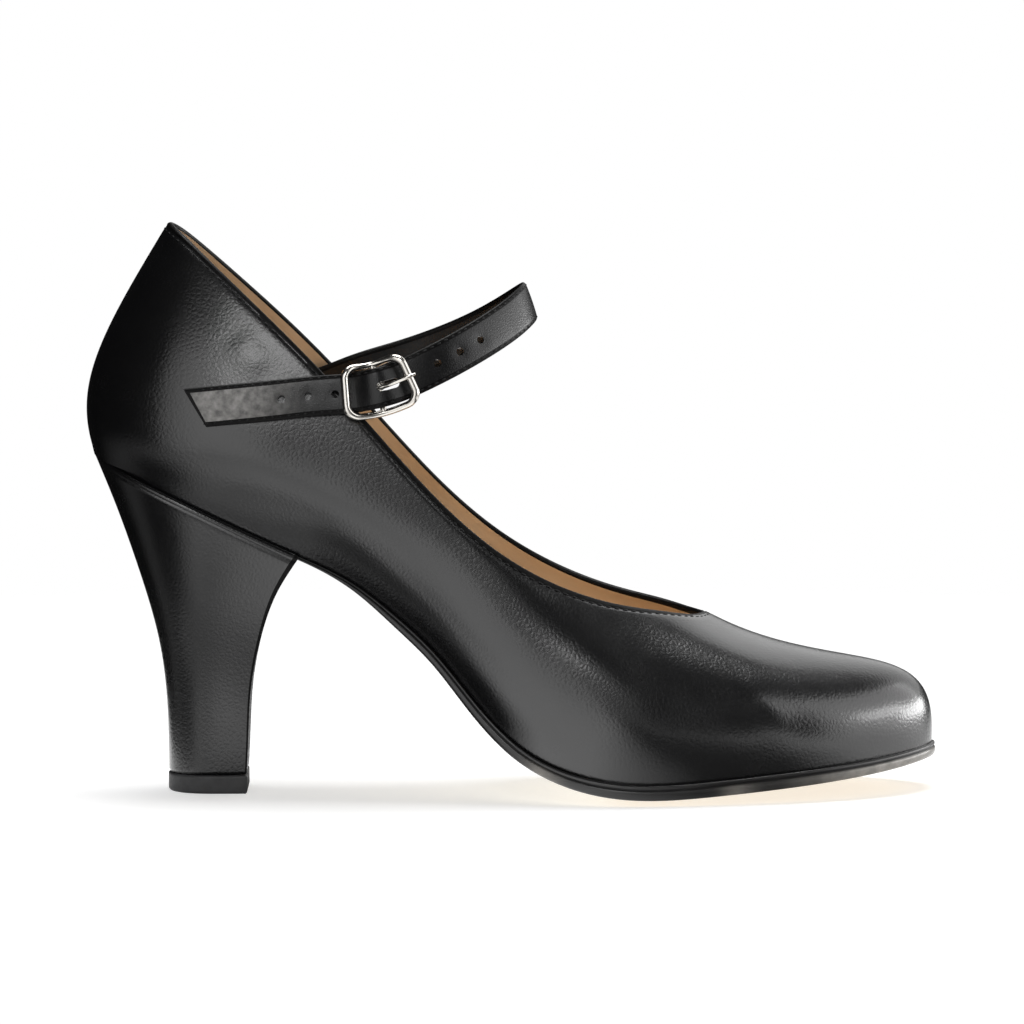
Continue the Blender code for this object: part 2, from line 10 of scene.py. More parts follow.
import bmesh
import bpy
import numpy as np
from mathutils import Matrix, Vector, noise


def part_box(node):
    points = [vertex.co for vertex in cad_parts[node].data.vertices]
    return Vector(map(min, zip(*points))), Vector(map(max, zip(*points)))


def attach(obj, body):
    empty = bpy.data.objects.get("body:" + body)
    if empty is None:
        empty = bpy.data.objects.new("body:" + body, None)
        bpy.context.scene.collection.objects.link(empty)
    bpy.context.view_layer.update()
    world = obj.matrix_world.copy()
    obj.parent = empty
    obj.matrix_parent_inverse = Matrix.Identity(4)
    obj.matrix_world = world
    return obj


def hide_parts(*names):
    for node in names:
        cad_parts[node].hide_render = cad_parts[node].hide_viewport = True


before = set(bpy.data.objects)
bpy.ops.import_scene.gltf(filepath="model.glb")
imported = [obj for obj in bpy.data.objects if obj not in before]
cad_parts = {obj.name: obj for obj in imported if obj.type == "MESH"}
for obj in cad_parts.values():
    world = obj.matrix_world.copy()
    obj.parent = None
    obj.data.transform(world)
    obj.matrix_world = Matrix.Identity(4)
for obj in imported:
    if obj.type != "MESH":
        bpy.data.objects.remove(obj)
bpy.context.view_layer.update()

MM = 0.001
UP = np.array([0.0, 0.0, 1.0])

# Sizes of the last and of the pieces, as the solids have them
LENGTH = 218.0
BALL_WIDTH = 76.0
SEAT_HEIGHT = 87.0
COLLAR_HEIGHT = 146.6
THROAT_HEIGHT = 46.8
SOLE_LEVEL = 5.9
TOE_SPRING = 6.5
CUP = 2.0
CUP_STARTS = 40.0
CUP_FULL = 56.0
CUP_WIDTH = 0.8
WALL = 1.8
GAP = 0.3
BED = 0.45
INSOLE_THICK = 2.0
SOCK_GAP = 0.8  # between the sock's underside and the lining; its top touches the lining
LIFT_THICK = 4.7
STRAP_WIDTH = 10.2
STRAP_THICK = 1.6
TAIL_SLANT = 5.0
HOLE_RADIUS = 1.0
HOLE_PITCH = 6.8
BUCKLE_HALF_LENGTH = 8.2
BUCKLE_HALF_WIDTH = 6.3
BUCKLE_CORNER = 3.0
BUCKLE_WIRE = 0.9
PRONG_WIRE = 0.5
TAB_WIDTH = 7.0
TAB_THICK = 0.8
NOTCH_LENGTH = 6.0

Section = namedtuple(
    "Section",
    "name along lateral medial collar_along collar_lateral collar_medial collar_fall flare rise reach drop",
)
SECTIONS = (
    Section("heel_back", 0.9, 0.0, 0.0, 9.9, 0.0, 0.0, 100.0, 5.6, 17.0, 18.6, 30.6),
    Section("heel_corner", 4.4, 21.8, 21.8, 12.2, 14.5, 14.5, 96.0, 5.5, 17.0, 14.0, 30.0),
    Section("heel_side", 12.8, 30.9, 30.5, 18.8, 26.1, 26.1, 82.7, 6.0, 17.0, 10.0, 26.0),
    Section("breast", 25.2, 29.7, 27.4, 29.1, 34.9, 33.6, 60.2, 7.0, 15.0, 5.0, 20.0),
    Section("waist", 40.4, 31.3, 21.7, 40.8, 39.5, 36.2, 31.9, 9.0, 12.0, 3.0, 13.0),
    Section("joint_back", 53.7, 42.1, 31.6, 50.9, 39.5, 37.5, 14.1, 8.0, 16.0, 6.0, 13.0),
    Section("ball", 65.1, 47.4, 42.8, 60.1, 32.9, 32.2, 5.2, 5.0, 20.0, 10.0, 13.0),
    Section("toe_joint", 80.7, 38.8, 39.5, 67.0, 21.7, 22.4, 1.8, 4.0, 18.0, 18.0, 13.0),
    Section("toe_corner", 93.1, 21.1, 28.3, 70.6, 10.9, 11.8, 0.2, 3.0, 22.0, 27.0, 17.0),
    Section("toe_tip", 99.4, -5.3, 5.3, 71.9, -1.3, 1.3, 0.0, 2.2, 30.0, 34.0, 20.0),
)
TOE = len(SECTIONS) - 1
ROUND = 2 * TOE
BREAST = 3

Bottom = namedtuple("Bottom", "along climb spring sole edge")
BOTTOM = (
    Bottom(0.9, 100.0, 0.0, 2.6, -0.6),
    Bottom(12.8, 85.2, 0.0, 2.6, -0.6),
    Bottom(25.2, 69.7, 0.0, 2.6, -0.6),
    Bottom(32.1, 60.1, 0.0, 2.6, -0.6),
    Bottom(36.7, 50.4, 0.0, 2.6, -0.5),
    Bottom(41.3, 38.6, 0.0, 2.6, -0.3),
    Bottom(45.9, 23.6, 0.0, 2.8, 0.0),
    Bottom(50.5, 11.5, 0.0, 3.2, 0.4),
    Bottom(55.0, 4.9, 0.0, 3.6, 0.8),
    Bottom(59.6, 1.5, 0.0, 3.9, 1.0),
    Bottom(65.6, 0.0, 0.0, 4.0, 1.1),
    Bottom(73.4, 0.0, 12.0, 4.0, 1.2),
    Bottom(82.6, 0.0, 38.0, 4.0, 1.2),
    Bottom(89.9, 0.0, 60.0, 3.8, 1.2),
    Bottom(95.0, 0.0, 79.0, 3.6, 0.9),
    Bottom(99.4, 0.0, 100.0, 3.4, 0.5),
)

Level = namedtuple("Level", "share back breast half_width")
HEEL_LEVELS = (
    Level(0.0, 20.8, 41.0, 11.0),
    Level(0.15, 20.6, 41.4, 11.2),
    Level(0.40, 18.5, 42.3, 13.0),
    Level(0.65, 12.8, 45.3, 17.2),
    Level(0.85, 7.0, 49.6, 20.8),
    Level(1.0, 2.0, 55.0, 23.5),
)

Rest = namedtuple("Rest", "x z")
TAIL_ON_QUARTER = (Rest(26.5, 100.0), Rest(38.0, 101.2), Rest(50.0, 102.4), Rest(60.0, 103.4))
END_IN_QUARTER = (Rest(61.0, 102.6), Rest(52.0, 99.6))
Free = namedtuple("Free", "x y z lean")
OVER_INSTEP = (
    Free(75.0, -28.9, 105.4, 9.0),
    Free(84.0, -28.0, 108.8, 11.0),
    Free(92.5, -25.0, 112.8, 13.0),
    Free(102.0, -18.6, 117.8, 16.0),
    Free(110.0, -9.6, 122.8, 18.0),
    Free(113.2, 0.5, 125.4, 19.0),
    Free(110.0, 10.4, 122.8, 18.0),
    Free(102.5, 18.2, 117.8, 16.0),
    Free(92.0, 22.6, 112.8, 13.0),
    Free(80.0, 23.8, 108.6, 10.0),
    Free(70.0, 22.6, 105.6, 9.0),
)
BUCKLE_REST = len(TAIL_ON_QUARTER)
STRAP_LIFT = 2.6
LIFT_REACH = 7.0
BAR_LIFT = STRAP_THICK / 2 + GAP + BUCKLE_WIRE
MIDDLE_BAR = STRAP_LIFT - STRAP_THICK / 2 - BED - GAP - TAB_THICK - BUCKLE_WIRE
HOLES = (-4, -3, -2, 2, 3, 4)
SLOT_MIDDLE = 2.7
SLOT_LENGTH = 5.8
SLOT_RADIUS = 1.25

Bend = namedtuple("Bend", "along out")
FRAME_SIDES = 0.95  # sizes of the wire as shares of the frame's: its sides, what its ends add, its middle bar
FRAME_ENDS = 0.2
FRAME_ENDS_FROM = 5.0
FRAME_DIP = 1.5  # the higher, the narrower the frame's dip to its middle bar
BAR_SIZE = 0.9
PRONG_HOOK = (-50.0, -270.0)  # degrees round the middle bar where the prong's hook starts and ends
PRONG_BENDS = (
    Bend(1.6, 1.45),
    Bend(3.2, 2.3),
    Bend(4.9, 3.0),
    Bend(6.5, 3.5),
    Bend(8.2, 3.7),
    Bend(9.6, 3.6),
)
Swell = namedtuple("Swell", "step size")
PRONG_SWELLS = (Swell(0, 1.0), Swell(70, 1.15), Swell(86, 0.95), Swell(89, 0.6))
TAB_SEWN = (-24.0, -20.0, -16.0, -12.0, -8.0, -5.8)
TAB_INSIDE = -(STRAP_THICK / 2 + WALL + 4 * GAP + TAB_THICK / 2)
TAB_OUT_OF_COLLAR = (Bend(-3.6, -3.2), Bend(-1.6, -2.2))
TAB_BACK = (Bend(-1.6, 0.7), Bend(-3.0, 0.0), Bend(-4.6, -1.1))
TAB_ROUND = 0.3  # how round the tab's section is across and in its thickness: 1 is round, 0 square
TAB_EDGE_ROUND = 0.5

# How fine the meshes are
UPPER_COLUMNS = 420
UPPER_ROWS = 116
SOLE_STEPS = 470
SOLE_AROUND = 84
SOCK_STEPS = 120
SOCK_AROUND = 48
HEEL_AROUND = 190
HEEL_ROWS = 96
LIFT_ROWS = 14
STRAP_STEPS = 330
STRAP_AROUND = 44
TAB_STEPS = 110
TAB_AROUND = 28
TAB_TURN_STEPS = 9
FRAME_STEPS = 14
BAR_POINTS = 8
PRONG_HOOK_STEPS = 22
PRONG_STEPS = 90
WIRE_ROUND = 6
HOLE_SIDES = 28
EDGE_PATH_POINTS = 1600  # points along a row of stitches before it is divided evenly
STRAP_PATH_POINTS = 700
BOX_SIDE_POINTS = 5
SHARP = 40  # degrees between two faces from which their edge is shaded sharp
SEARCH_ROUNDS = 24  # for a point of the upper that is given in the side view
SEARCH_POINTS = 9
SEARCH_CLOSER = 0.6

# The upper's rows: shares of the way from the sole, up the outside, over the edge and down the lining
OUTSIDE_ROWS = 0.62
EDGE_ROWS = 0.07
EDGE_UP = 0.985  # where the edge starts to turn over, so that its top is the collar's height
FINE_UP = 0.9  # above this the rows are closer together
FINE_ROWS = 0.72
SEAM_COLUMNS = 0.03  # the columns next to the back seam are closer together
SEAM_REACH = 0.12
EDGE_STITCH_IN = 2.2  # stitch line's distance from the collar edge
EDGE_GROOVE = 0.16
EDGE_GROOVE_WIDTH = 0.45
EDGE_LEAN = 0.7  # how far the collar's edge leans inwards, and how far below the edge that starts
EDGE_LEAN_REACH = 5.0
EDGE_LEAN_FROM = (0.3, 1.2)  # places beside the heel's back between which the lean starts
EDGE_DRESSED_AND_SHADED = 2.0  # how far from the collar the dark matt edge dressing goes, which also paints the shade under the fold
BACK_SEAM_DEPTH = 0.28
BACK_SEAM_WIDTH = 0.35
BACK_SEAM_FROM_EDGE = (0.4, 1.5)  # how far from the collar the back seam starts
BED_UP = 0.04  # way up over which the lower edge reaches down to the sole

# Soft creases and swellings of the upper, on the side that is named, between two points of the side view.
# Rise is how far the leather stands out along the line, or sinks where it is negative.
Crease = namedtuple("Crease", "name side x z to_x to_z width rise")
CREASES = (
    Crease("swelling under the collar", "lateral", 38.0, 119.0, 46.6, 108.6, 4.2, 0.24),
    Crease("short crease beside it", "lateral", 43.6, 119.4, 48.4, 113.6, 1.2, -0.05),
    Crease("fullness over the heel", "lateral", 18.0, 104.0, 92.0, 61.0, 11.0, 1.35),
    Crease("waist ridge", "lateral", 119.0, 54.0, 149.0, 7.0, 9.0, 0.85),
    Crease("toe box edge", "lateral", 165.0, 34.0, 181.0, 15.0, 4.4, 0.36),
    Crease("fullness over the heel", "medial", 18.0, 104.0, 88.0, 63.0, 11.0, 1.0),
    Crease("waist ridge", "medial", 108.0, 42.0, 134.0, 16.0, 7.0, 0.5),
    Crease("toe box edge", "medial", 169.0, 34.0, 184.0, 16.0, 4.4, 0.3),
)
CREASE_POINTS = 9
CREASE_FADE = 0.4  # share of a crease, at each end, over which it fades
CREASE_FROM_EDGE = (0.5, 4.0)  # how far from the collar the creases and waves start
CREASE_UP = 0.06  # way up from the sole over which they start
WAVE_SIZE = 26.0  # soft unevenness of leather drawn over a last
WAVE_HEIGHT = 0.06

# The upper's lower edge is drawn in over the heel seat and the waist, between these places round each side
TUCK = 1.1
TUCK_HEIGHT = 13.0
TUCK_FROM = (0.4, 1.3)
TUCK_TO = (3.6, 5.2)

# The outsole's edge from its top to its underside: out past the edge line, and share of the way down
EdgeStep = namedtuple("EdgeStep", "out down")
SOLE_EDGE = (
    EdgeStep(-0.40, 0.00),
    EdgeStep(0.10, 0.02),
    EdgeStep(0.32, 0.10),
    EdgeStep(0.34, 0.20),
    EdgeStep(0.02, 0.27),
    EdgeStep(-0.02, 0.32),
    EdgeStep(0.30, 0.38),
    EdgeStep(0.44, 0.50),
    EdgeStep(0.44, 0.70),
    EdgeStep(0.34, 0.84),
    EdgeStep(0.02, 0.96),
    EdgeStep(-0.40, 1.00),
)
SOLE_TOP_SHARE = 0.10  # shares of the way round a section of the outsole
SOLE_EDGE_SHARE = 0.17
WAIST_SKIVE = 0.35  # the sole is pared to this share of its thickness where it meets the heel
SKIVE_REACH = 30.0
RIB_PITCH = 2.3
RIB_DEPTH = 0.3
RIBS_FROM = 142.0
RIBS_FADE = 16.0
RIB_MARGIN = 0.05
RIB_SLOPE = (0.25, 0.75)  # shares of a wave's height between which a rib rises
UNDERSIDE = (0.995, 1.0)  # shares of the way down the edge where the underside starts
SOLE_FROM = BREAST - 0.015  # places round one side where the outsole and the sock start and end
SOLE_TO = TOE - 0.04
SOCK_FROM = 0.2
SOCK_TO = TOE - 0.1
TOE_CROWD = 0.12  # how much closer together their steps are towards the toe
SOCK_ROUND = 0.8  # how round the sock's section is across and in its thickness: 1 is round, 0 square
SOCK_EDGE_ROUND = 0.35
# Pale marks on the lower part of the sole's edge: the two small ones are real wear, the long one round the
# toe is a painted highlight
PaleMark = namedtuple("PaleMark", "x reach share")
EDGE_WEAR_AND_HIGHLIGHT = (PaleMark(117.0, 4.0, 0.5), PaleMark(166.0, 4.0, 0.4), PaleMark(208.0, 20.0, 0.9))
PALE_MARKS_BELOW = (0.30, 0.45)  # the pale marks start at this share of the edge's way down

HEEL_WALL_SHARE = 0.80  # the rest of the way round is the breast
HEEL_CORNER = 0.006  # share of the wall, at each end, that is dressed dark like the breast: painted shade along the corner
HEEL_ROW_SHARES = (0.0, 0.12, 0.6, 1.0)  # the rows are closer together by the tip and by the seat
HEEL_ROW_UP = (0.0, 0.02, 0.93, 1.0)
HEEL_RIM = 0.6  # the cover's folded rim at the seat: how far it stands out, how far below the seat, how wide
HEEL_RIM_BELOW = 1.2
HEEL_RIM_WIDTH = 0.9
HEEL_RIM_FROM = (0.3, 1.2)  # places beside the heel's back between which the rim starts
HEEL_EASE = 0.3  # how far the block's upper and lower corners are eased
BREAST_HOLLOW = 1.1
HOLLOW_BELOW_SEAT = 12.0  # how far below the seat and above the tip the hollow is full
HOLLOW_ABOVE_TIP = 6.0
LIFT_PROUD = 0.12
LiftStep = namedtuple("LiftStep", "along up cut")
LIFT_PROFILE = (
    LiftStep(0.0, 0.0, 0.4),
    LiftStep(0.15, 0.45, 0.0),
    LiftStep(0.85, LIFT_THICK - 0.35, 0.0),
    LiftStep(1.0, LIFT_THICK, 0.3),
)

STRAP_SHEEN_REACH = (10.0, 34.0)  # how far from its free end the strap's painted highlight fades
STRAP_FACE = 0.77  # share of the strap's width between its dressed edges, whose dark ink also paints the shade along them
STRAP_CROWN = 0.22  # share of half the thickness that the face falls towards its edges
STRAP_EDGE_POWER = 12  # the higher, the squarer the strap's edges
TAIL_EDGE = 0.006  # share of the strap's length that the dressing covers at its free end
HOLE_DIMPLE = 0.16  # how far the face sinks round a punched hole, and how wide
HOLE_DIMPLE_WIDTH = 1.7

STITCH_PITCH = 2.4
STITCH_LENGTH = 1.75
THREAD = 0.26  # half a stitch's thickness
THREAD_SHOWS = 0.15  # share of that by which a stitch's middle is above its groove's floor
STRAP_STITCH_PITCH = 2.1
STRAP_STITCH_LENGTH = 1.5
STRAP_STITCH_IN = 0.8
STRAP_STITCH_SUNK = 0.12
STRAP_STITCH_ENDS = (4.0, 3.0)  # how far from the strap's free end and from its sewn end its rows stop
STITCH_BOX = (Rest(53.6, 95.6), Rest(61.0, 98.2), Rest(60.2, 105.4), Rest(53.0, 103.2))
BOX_STITCH_SUNK = 0.05


class Curve:
    """A smooth curve through points, with no jump in its bend: round a loop, or open with free ends."""

    def __init__(self, marks, points, closed=False):
        self.marks = np.asarray(marks, float)
        values = np.asarray(points, float)
        self.closed = closed
        self.values = np.vstack([values, values[:1]]) if closed else values
        self.bends = self.solve()

    def solve(self):
        step = np.diff(self.marks)
        slope = np.diff(self.values, axis=0) / step[:, None]
        count = len(self.marks)
        matrix = np.eye(count)
        wanted = np.zeros_like(self.values)
        for i in range(1, count - 1):
            matrix[i, i - 1 : i + 2] = step[i - 1] / 6, (step[i - 1] + step[i]) / 3, step[i] / 6
            wanted[i] = slope[i] - slope[i - 1]
        if self.closed:
            matrix[0, :2] = (step[-1] + step[0]) / 3, step[0] / 6
            matrix[0, -2] = step[-1] / 6
            wanted[0] = slope[0] - slope[-1]
            matrix[-1, 0] = -1.0
        return np.linalg.solve(matrix, wanted)

    def at(self, mark):
        mark = np.asarray(mark, float)
        if self.closed:
            mark = self.marks[0] + (mark - self.marks[0]) % (self.marks[-1] - self.marks[0])
        i = np.clip(np.searchsorted(self.marks, mark, side="right") - 1, 0, len(self.marks) - 2)
        step = (self.marks[i + 1] - self.marks[i])[..., None]
        after = (mark - self.marks[i])[..., None] / step
        before = 1.0 - after
        straight = before * self.values[i] + after * self.values[i + 1]
        bend = (before**3 - before) * self.bends[i] + (after**3 - after) * self.bends[i + 1]
        return straight + bend * step**2 / 6

    def way(self, mark, nudge=1e-3):
        """The unit direction along the curve."""
        return unit(self.at(np.asarray(mark) + nudge) - self.at(np.asarray(mark) - nudge))


def unit(vectors):
    return vectors / np.linalg.norm(vectors, axis=-1, keepdims=True)


def outward_in_plan(way):
    """The level direction to the right of the way round, which is outwards."""
    level = np.stack([way[..., 1], -way[..., 0], np.zeros_like(way[..., 0])], axis=-1)
    return unit(level)


def soft_step(value, first, last):
    share = np.clip((np.asarray(value, float) - first) / (last - first), 0, 1)
    return share**2 * (3 - 2 * share)


def hump(distance, width):
    return np.exp(-((distance / width) ** 2))


def squarer(value, power):
    """A sine or cosine made squarer, as the power goes from 1 towards 0."""
    return np.sign(value) * np.abs(value) ** power


# The last's bottom and the upper's surface

BOTTOM_LINE = Curve(
    [row.along * LENGTH / 100 for row in BOTTOM],
    [
        (
            SOLE_LEVEL + row.climb / 100 * (SEAT_HEIGHT - SOLE_LEVEL) + row.spring / 100 * TOE_SPRING,
            row.sole,
            row.edge,
        )
        for row in BOTTOM
    ],
)


def bottom_at(x):
    """Height of the upper's lower edge, the outsole's thickness and how far it stands out."""
    height, sole, edge = np.moveaxis(BOTTOM_LINE.at(x), -1, 0)
    return height, sole, edge


def bottom_tilt(x, nudge=0.5):
    """How much thicker a layer on the sloping bottom line measures straight down."""
    slope = (bottom_at(x + nudge)[0] - bottom_at(x - nudge)[0]) / (2 * nudge)
    return np.sqrt(1 + slope**2)


def section_rows(side):
    """Each section's lower edge, collar and handles on one side of the shoe: -1 is lateral, 1 medial."""
    rows = []
    for row in SECTIONS:
        half, collar_half = row.lateral, row.collar_lateral
        if side > 0:
            half, collar_half = row.medial, row.collar_medial
        along = row.along / 100 * LENGTH
        collar_along = row.collar_along / 100 * LENGTH
        collar_height = THROAT_HEIGHT + row.collar_fall / 100 * (COLLAR_HEIGHT - THROAT_HEIGHT)
        lower = (along, side * half / 100 * BALL_WIDTH, bottom_at(along)[0])
        collar = (collar_along, side * collar_half / 100 * BALL_WIDTH, collar_height)
        rows.append((*lower, *collar, row.flare, row.rise, row.reach, row.drop))
    return rows


def rails():
    """The four closed curves that steer the upper: lower edge, wall, shoulder and collar."""
    rows = np.array(section_rows(-1) + section_rows(1)[-2:0:-1])
    lower, collar, handles = np.split(rows, (3, 6), axis=1)
    flare, rise, reach, drop = handles.T[..., None]
    marks = np.arange(ROUND + 1)
    lower_curve = Curve(marks, lower, closed=True)
    collar_curve = Curve(marks, collar, closed=True)
    wall = lower + flare * outward_in_plan(lower_curve.way(marks[:-1])) + rise * UP
    shoulder = collar + reach * outward_in_plan(collar_curve.way(marks[:-1])) - drop * UP
    return lower_curve, Curve(marks, wall, closed=True), Curve(marks, shoulder, closed=True), collar_curve


LOWER_EDGE, WALL_RAIL, SHOULDER_RAIL, COLLAR_EDGE = rails()


def lower_edge(place):
    """The upper's lower edge, kept on the last's bottom line between the sections."""
    point = LOWER_EDGE.at(place)
    point[..., 2] = bottom_at(point[..., 0])[0]
    return point


def upper_at(place, up):
    """A point of the upper's outside: place runs round the shoe, up from 0 at the sole to 1 at the collar."""
    up = np.asarray(up, float)[..., None]
    low = 1 - up
    return (
        low**3 * lower_edge(place)
        + 3 * low**2 * up * WALL_RAIL.at(place)
        + 3 * low * up**2 * SHOULDER_RAIL.at(place)
        + up**3 * COLLAR_EDGE.at(place)
    )


def upper_rising(place, up, nudge=1e-3):
    """How the upper's outside goes up, in millimetres for a whole way up."""
    above = np.minimum(up + nudge, 1.0)
    below = np.maximum(up - nudge, 0.0)
    return (upper_at(place, above) - upper_at(place, below)) / (above - below)[..., None]


def upper_normal(place, up, nudge=1e-3):
    along = upper_at(place + nudge, up) - upper_at(place - nudge, up)
    return unit(np.cross(along, upper_rising(place, up)))


def on_quarter(x, z, medial=False):
    """The point of the lateral or medial side at this place in the side view, and its normal."""
    place, up, span = TOE / 2, 0.5, 0.5
    for _ in range(SEARCH_ROUNDS):
        places = place + np.linspace(-span, span, SEARCH_POINTS) * TOE
        ups = np.clip(up + np.linspace(-span, span, SEARCH_POINTS), 0, 1)
        grid_place, grid_up = np.meshgrid(np.clip(places, 0, TOE), ups)
        grid_round = ROUND - grid_place if medial else grid_place
        points = upper_at(grid_round, grid_up)
        miss = np.hypot(points[..., 0] - x, points[..., 2] - z)
        best = np.unravel_index(np.argmin(miss), miss.shape)
        place, up = grid_place[best], grid_up[best]
        span *= SEARCH_CLOSER
    place = ROUND - place if medial else place
    return upper_at(place, up), upper_normal(np.array(place), np.array(up))


# The strap's own coordinates


def strap_route():
    """Points along the strap's middle with the lean of its face, from the free end to the sewn end."""
    rows = []
    for rest in TAIL_ON_QUARTER:
        point, normal = on_quarter(rest.x, rest.z)
        rows.append([*(point + normal * (GAP + STRAP_THICK / 2)), math.degrees(math.asin(normal[2]))])
    rows.extend(OVER_INSTEP)
    for rest in END_IN_QUARTER:
        point, normal = on_quarter(rest.x, rest.z, medial=True)
        inside = WALL + 2 * BED + STRAP_THICK / 2
        rows.append([*(point - normal * inside), math.degrees(math.asin(normal[2]))])
    rows = np.array(rows, float)
    marks = np.concatenate([[0], np.cumsum(np.linalg.norm(np.diff(rows[:, :3], axis=0), axis=1))])
    return Curve(marks, rows)


ROUTE = strap_route()
BUCKLE_MARK = ROUTE.marks[BUCKLE_REST]
STRAP_FIRST = ROUTE.marks[0] - BUCKLE_MARK
STRAP_LAST = ROUTE.marks[-1] - BUCKLE_MARK


def by_strap(along, across, out):
    """A point given along the strap from the buckle's middle, across it (up) and out from its middle."""
    mark = BUCKLE_MARK + np.asarray(along, float)
    row = ROUTE.at(mark)
    way = unit(ROUTE.at(mark + 0.01)[..., :3] - ROUTE.at(mark - 0.01)[..., :3])
    lean = np.radians(row[..., 3:])
    face = np.cos(lean) * outward_in_plan(way) + np.sin(lean) * UP
    face = unit(face - way * np.sum(face * way, axis=-1, keepdims=True))
    side = np.cross(face, way)
    return row[..., :3] + side * np.asarray(across)[..., None] + face * np.asarray(out)[..., None]


def strap_lift(along):
    """How far the strap rises to clear the buckle's middle bar."""
    share = np.clip(1 - (np.asarray(along) / LIFT_REACH) ** 2, 0, 1)
    return STRAP_LIFT * share**2


# The heel block's coordinates


def heel_outline(share_round):
    """The heel seat's outline: round the back from breast to breast, then straight across the breast."""
    share_round = np.asarray(share_round, float)
    wall = np.clip(share_round / HEEL_WALL_SHARE, 0, 1)
    place = -BREAST + 2 * BREAST * wall
    across = np.clip((share_round - HEEL_WALL_SHARE) / (1 - HEEL_WALL_SHARE), 0, 1)
    first, last = lower_edge(np.array([-BREAST, BREAST]))
    on_breast = share_round > HEEL_WALL_SHARE
    points = np.where(on_breast[:, None], last + (first - last) * across[:, None], lower_edge(place))
    out = np.where(on_breast[:, None], [1.0, 0.0, 0.0], outward_in_plan(LOWER_EDGE.way(place)))
    return points, out, across


HEEL_CURVE = Curve([level.share for level in HEEL_LEVELS], [level[1:] for level in HEEL_LEVELS])
SEAT_BACK = lower_edge(np.array(0.0))[0]
SEAT_FRONT = lower_edge(np.array(float(BREAST)))[0]


def heel_at(share_round, share_up):
    """A point of the heel block's outside with its outward direction in plan."""
    points, out, across = heel_outline(share_round)
    back, breast, half_width = np.moveaxis(HEEL_CURVE.at(share_up), -1, 0)
    low = LIFT_THICK + GAP
    seat = points[:, 2] - GAP
    points[:, 0] = back + (points[:, 0] - SEAT_BACK) / (SEAT_FRONT - SEAT_BACK) * (breast - back)
    points[:, 1] *= half_width / HEEL_LEVELS[-1].half_width
    points[:, 2] = low + share_up * (seat - low)
    return points, out, across, seat - low


def shift_to_frame():
    """The solids stand with the middle of their box over the origin; the top piece shows how far that is."""
    outline = heel_at(np.linspace(0, 1, 400), np.zeros(400))[0]
    corner = np.array(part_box("top_piece")[0]) / MM
    return np.array([corner[0] - outline[:, 0].min(), corner[1] - outline[:, 1].min(), 0.0])


SHIFT = shift_to_frame()


# Making pieces


def share_grid(columns, rows):
    """A flat grid whose vertices hold their shares of the way across (x) and along (y), from 0 to 1."""
    built = bmesh.new()
    middle = Matrix.Translation((0.5, 0.5, 0.0))
    bmesh.ops.create_grid(built, x_segments=columns, y_segments=rows, size=0.5, matrix=middle)
    return built


def paint_faces(built, finish_of):
    """Gives each face of a share grid the number of its finish."""
    middles = np.array([face.calc_center_median() for face in built.faces])
    for face, finish in zip(built.faces, finish_of(middles[:, 0], middles[:, 1])):
        face.material_index = int(finish)


def shape_grid(built, shape):
    """Moves a share grid's vertices to their places on the shoe and closes the seam."""
    shares = np.array([vert.co for vert in built.verts])
    for vert, point in zip(built.verts, (shape(shares[:, 0], shares[:, 1]) + SHIFT) * MM):
        vert.co = point
    bmesh.ops.remove_doubles(built, verts=built.verts, dist=1e-6)


def close_ends(built, finish):
    """Fills the open ends of a tube-like piece."""
    edges = [edge for edge in built.edges if edge.is_boundary]
    for face in bmesh.ops.holes_fill(built, edges=edges)["faces"]:
        face.material_index = finish


def put_in_scene(name, data):
    """An object of the scene with this mesh, curve, light or camera."""
    thing = bpy.data.objects.new(name, data)
    bpy.context.scene.collection.objects.link(thing)
    return thing


def put_mesh_in_scene(name, built):
    """Turns a bmesh into an object of the scene."""
    mesh = bpy.data.meshes.new(name)
    built.to_mesh(mesh)
    built.free()
    return put_in_scene(name, mesh)


def add_piece(name, built, finishes, stands_for=None, sharp=SHARP):
    """Turns a bmesh into a smooth-shaded piece of the shoe."""
    bmesh.ops.recalc_face_normals(built, faces=built.faces)
    piece = put_mesh_in_scene(name, built)
    piece.data.shade_smooth()
    piece.data.set_sharp_from_angle(angle=math.radians(sharp))
    for finish in finishes:
        piece.data.materials.append(finish)
    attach(piece, "root")
    if stands_for:
        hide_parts(stands_for)
    return piece


def add_tube(name, grid, shape, finishes, stands_for, finish_of=None, end_finish=0, sharp=SHARP):
    """A piece of the shoe from a share grid of this size: painted, shaped and filled at its ends."""
    built = share_grid(*grid)
    if finish_of:
        paint_faces(built, finish_of)
    shape_grid(built, shape)
    close_ends(built, end_finish)
    return add_piece(name, built, finishes, stands_for, sharp)


def places_of(piece):
    """Where a piece's vertices are on the last."""
    return np.array([vert.co for vert in piece.data.vertices]) / MM - SHIFT


def mark_points(piece, name, values):
    """Gives each vertex of a piece a value that its finish can read."""
    piece.data.attributes.new(name, "FLOAT", "POINT").data.foreach_set("value", values)


def evenly_along(path, pitch):
    """Points and directions at equal steps along a path of points."""
    lengths = np.concatenate([[0], np.cumsum(np.linalg.norm(np.diff(path, axis=0), axis=1))])
    marks = np.arange(pitch / 2, lengths[-1], pitch)

    def at(marks):
        return np.stack([np.interp(marks, lengths, column) for column in path.T], axis=1)

    return at(marks), unit(at(marks + pitch / 4) - at(marks - pitch / 4))


def add_stitches(name, paths, finish, pitch=STITCH_PITCH, length=STITCH_LENGTH):
    """Thread stitches along paths, as small rounded bars joined in one piece."""
    built = bmesh.new()
    for path in paths:
        for point, way in zip(*evenly_along(path, pitch)):
            turn = Vector(way).to_track_quat("X", "Z").to_matrix().to_4x4()
            size = Matrix.Diagonal((length / 2, THREAD, THREAD, 1.0))
            place = Matrix.Translation(point + SHIFT)
            bmesh.ops.create_icosphere(
                built, subdivisions=1, radius=1.0, matrix=Matrix.Scale(MM, 4) @ place @ turn @ size
            )
    return add_piece(name, built, [finish], sharp=180)


# Finishes

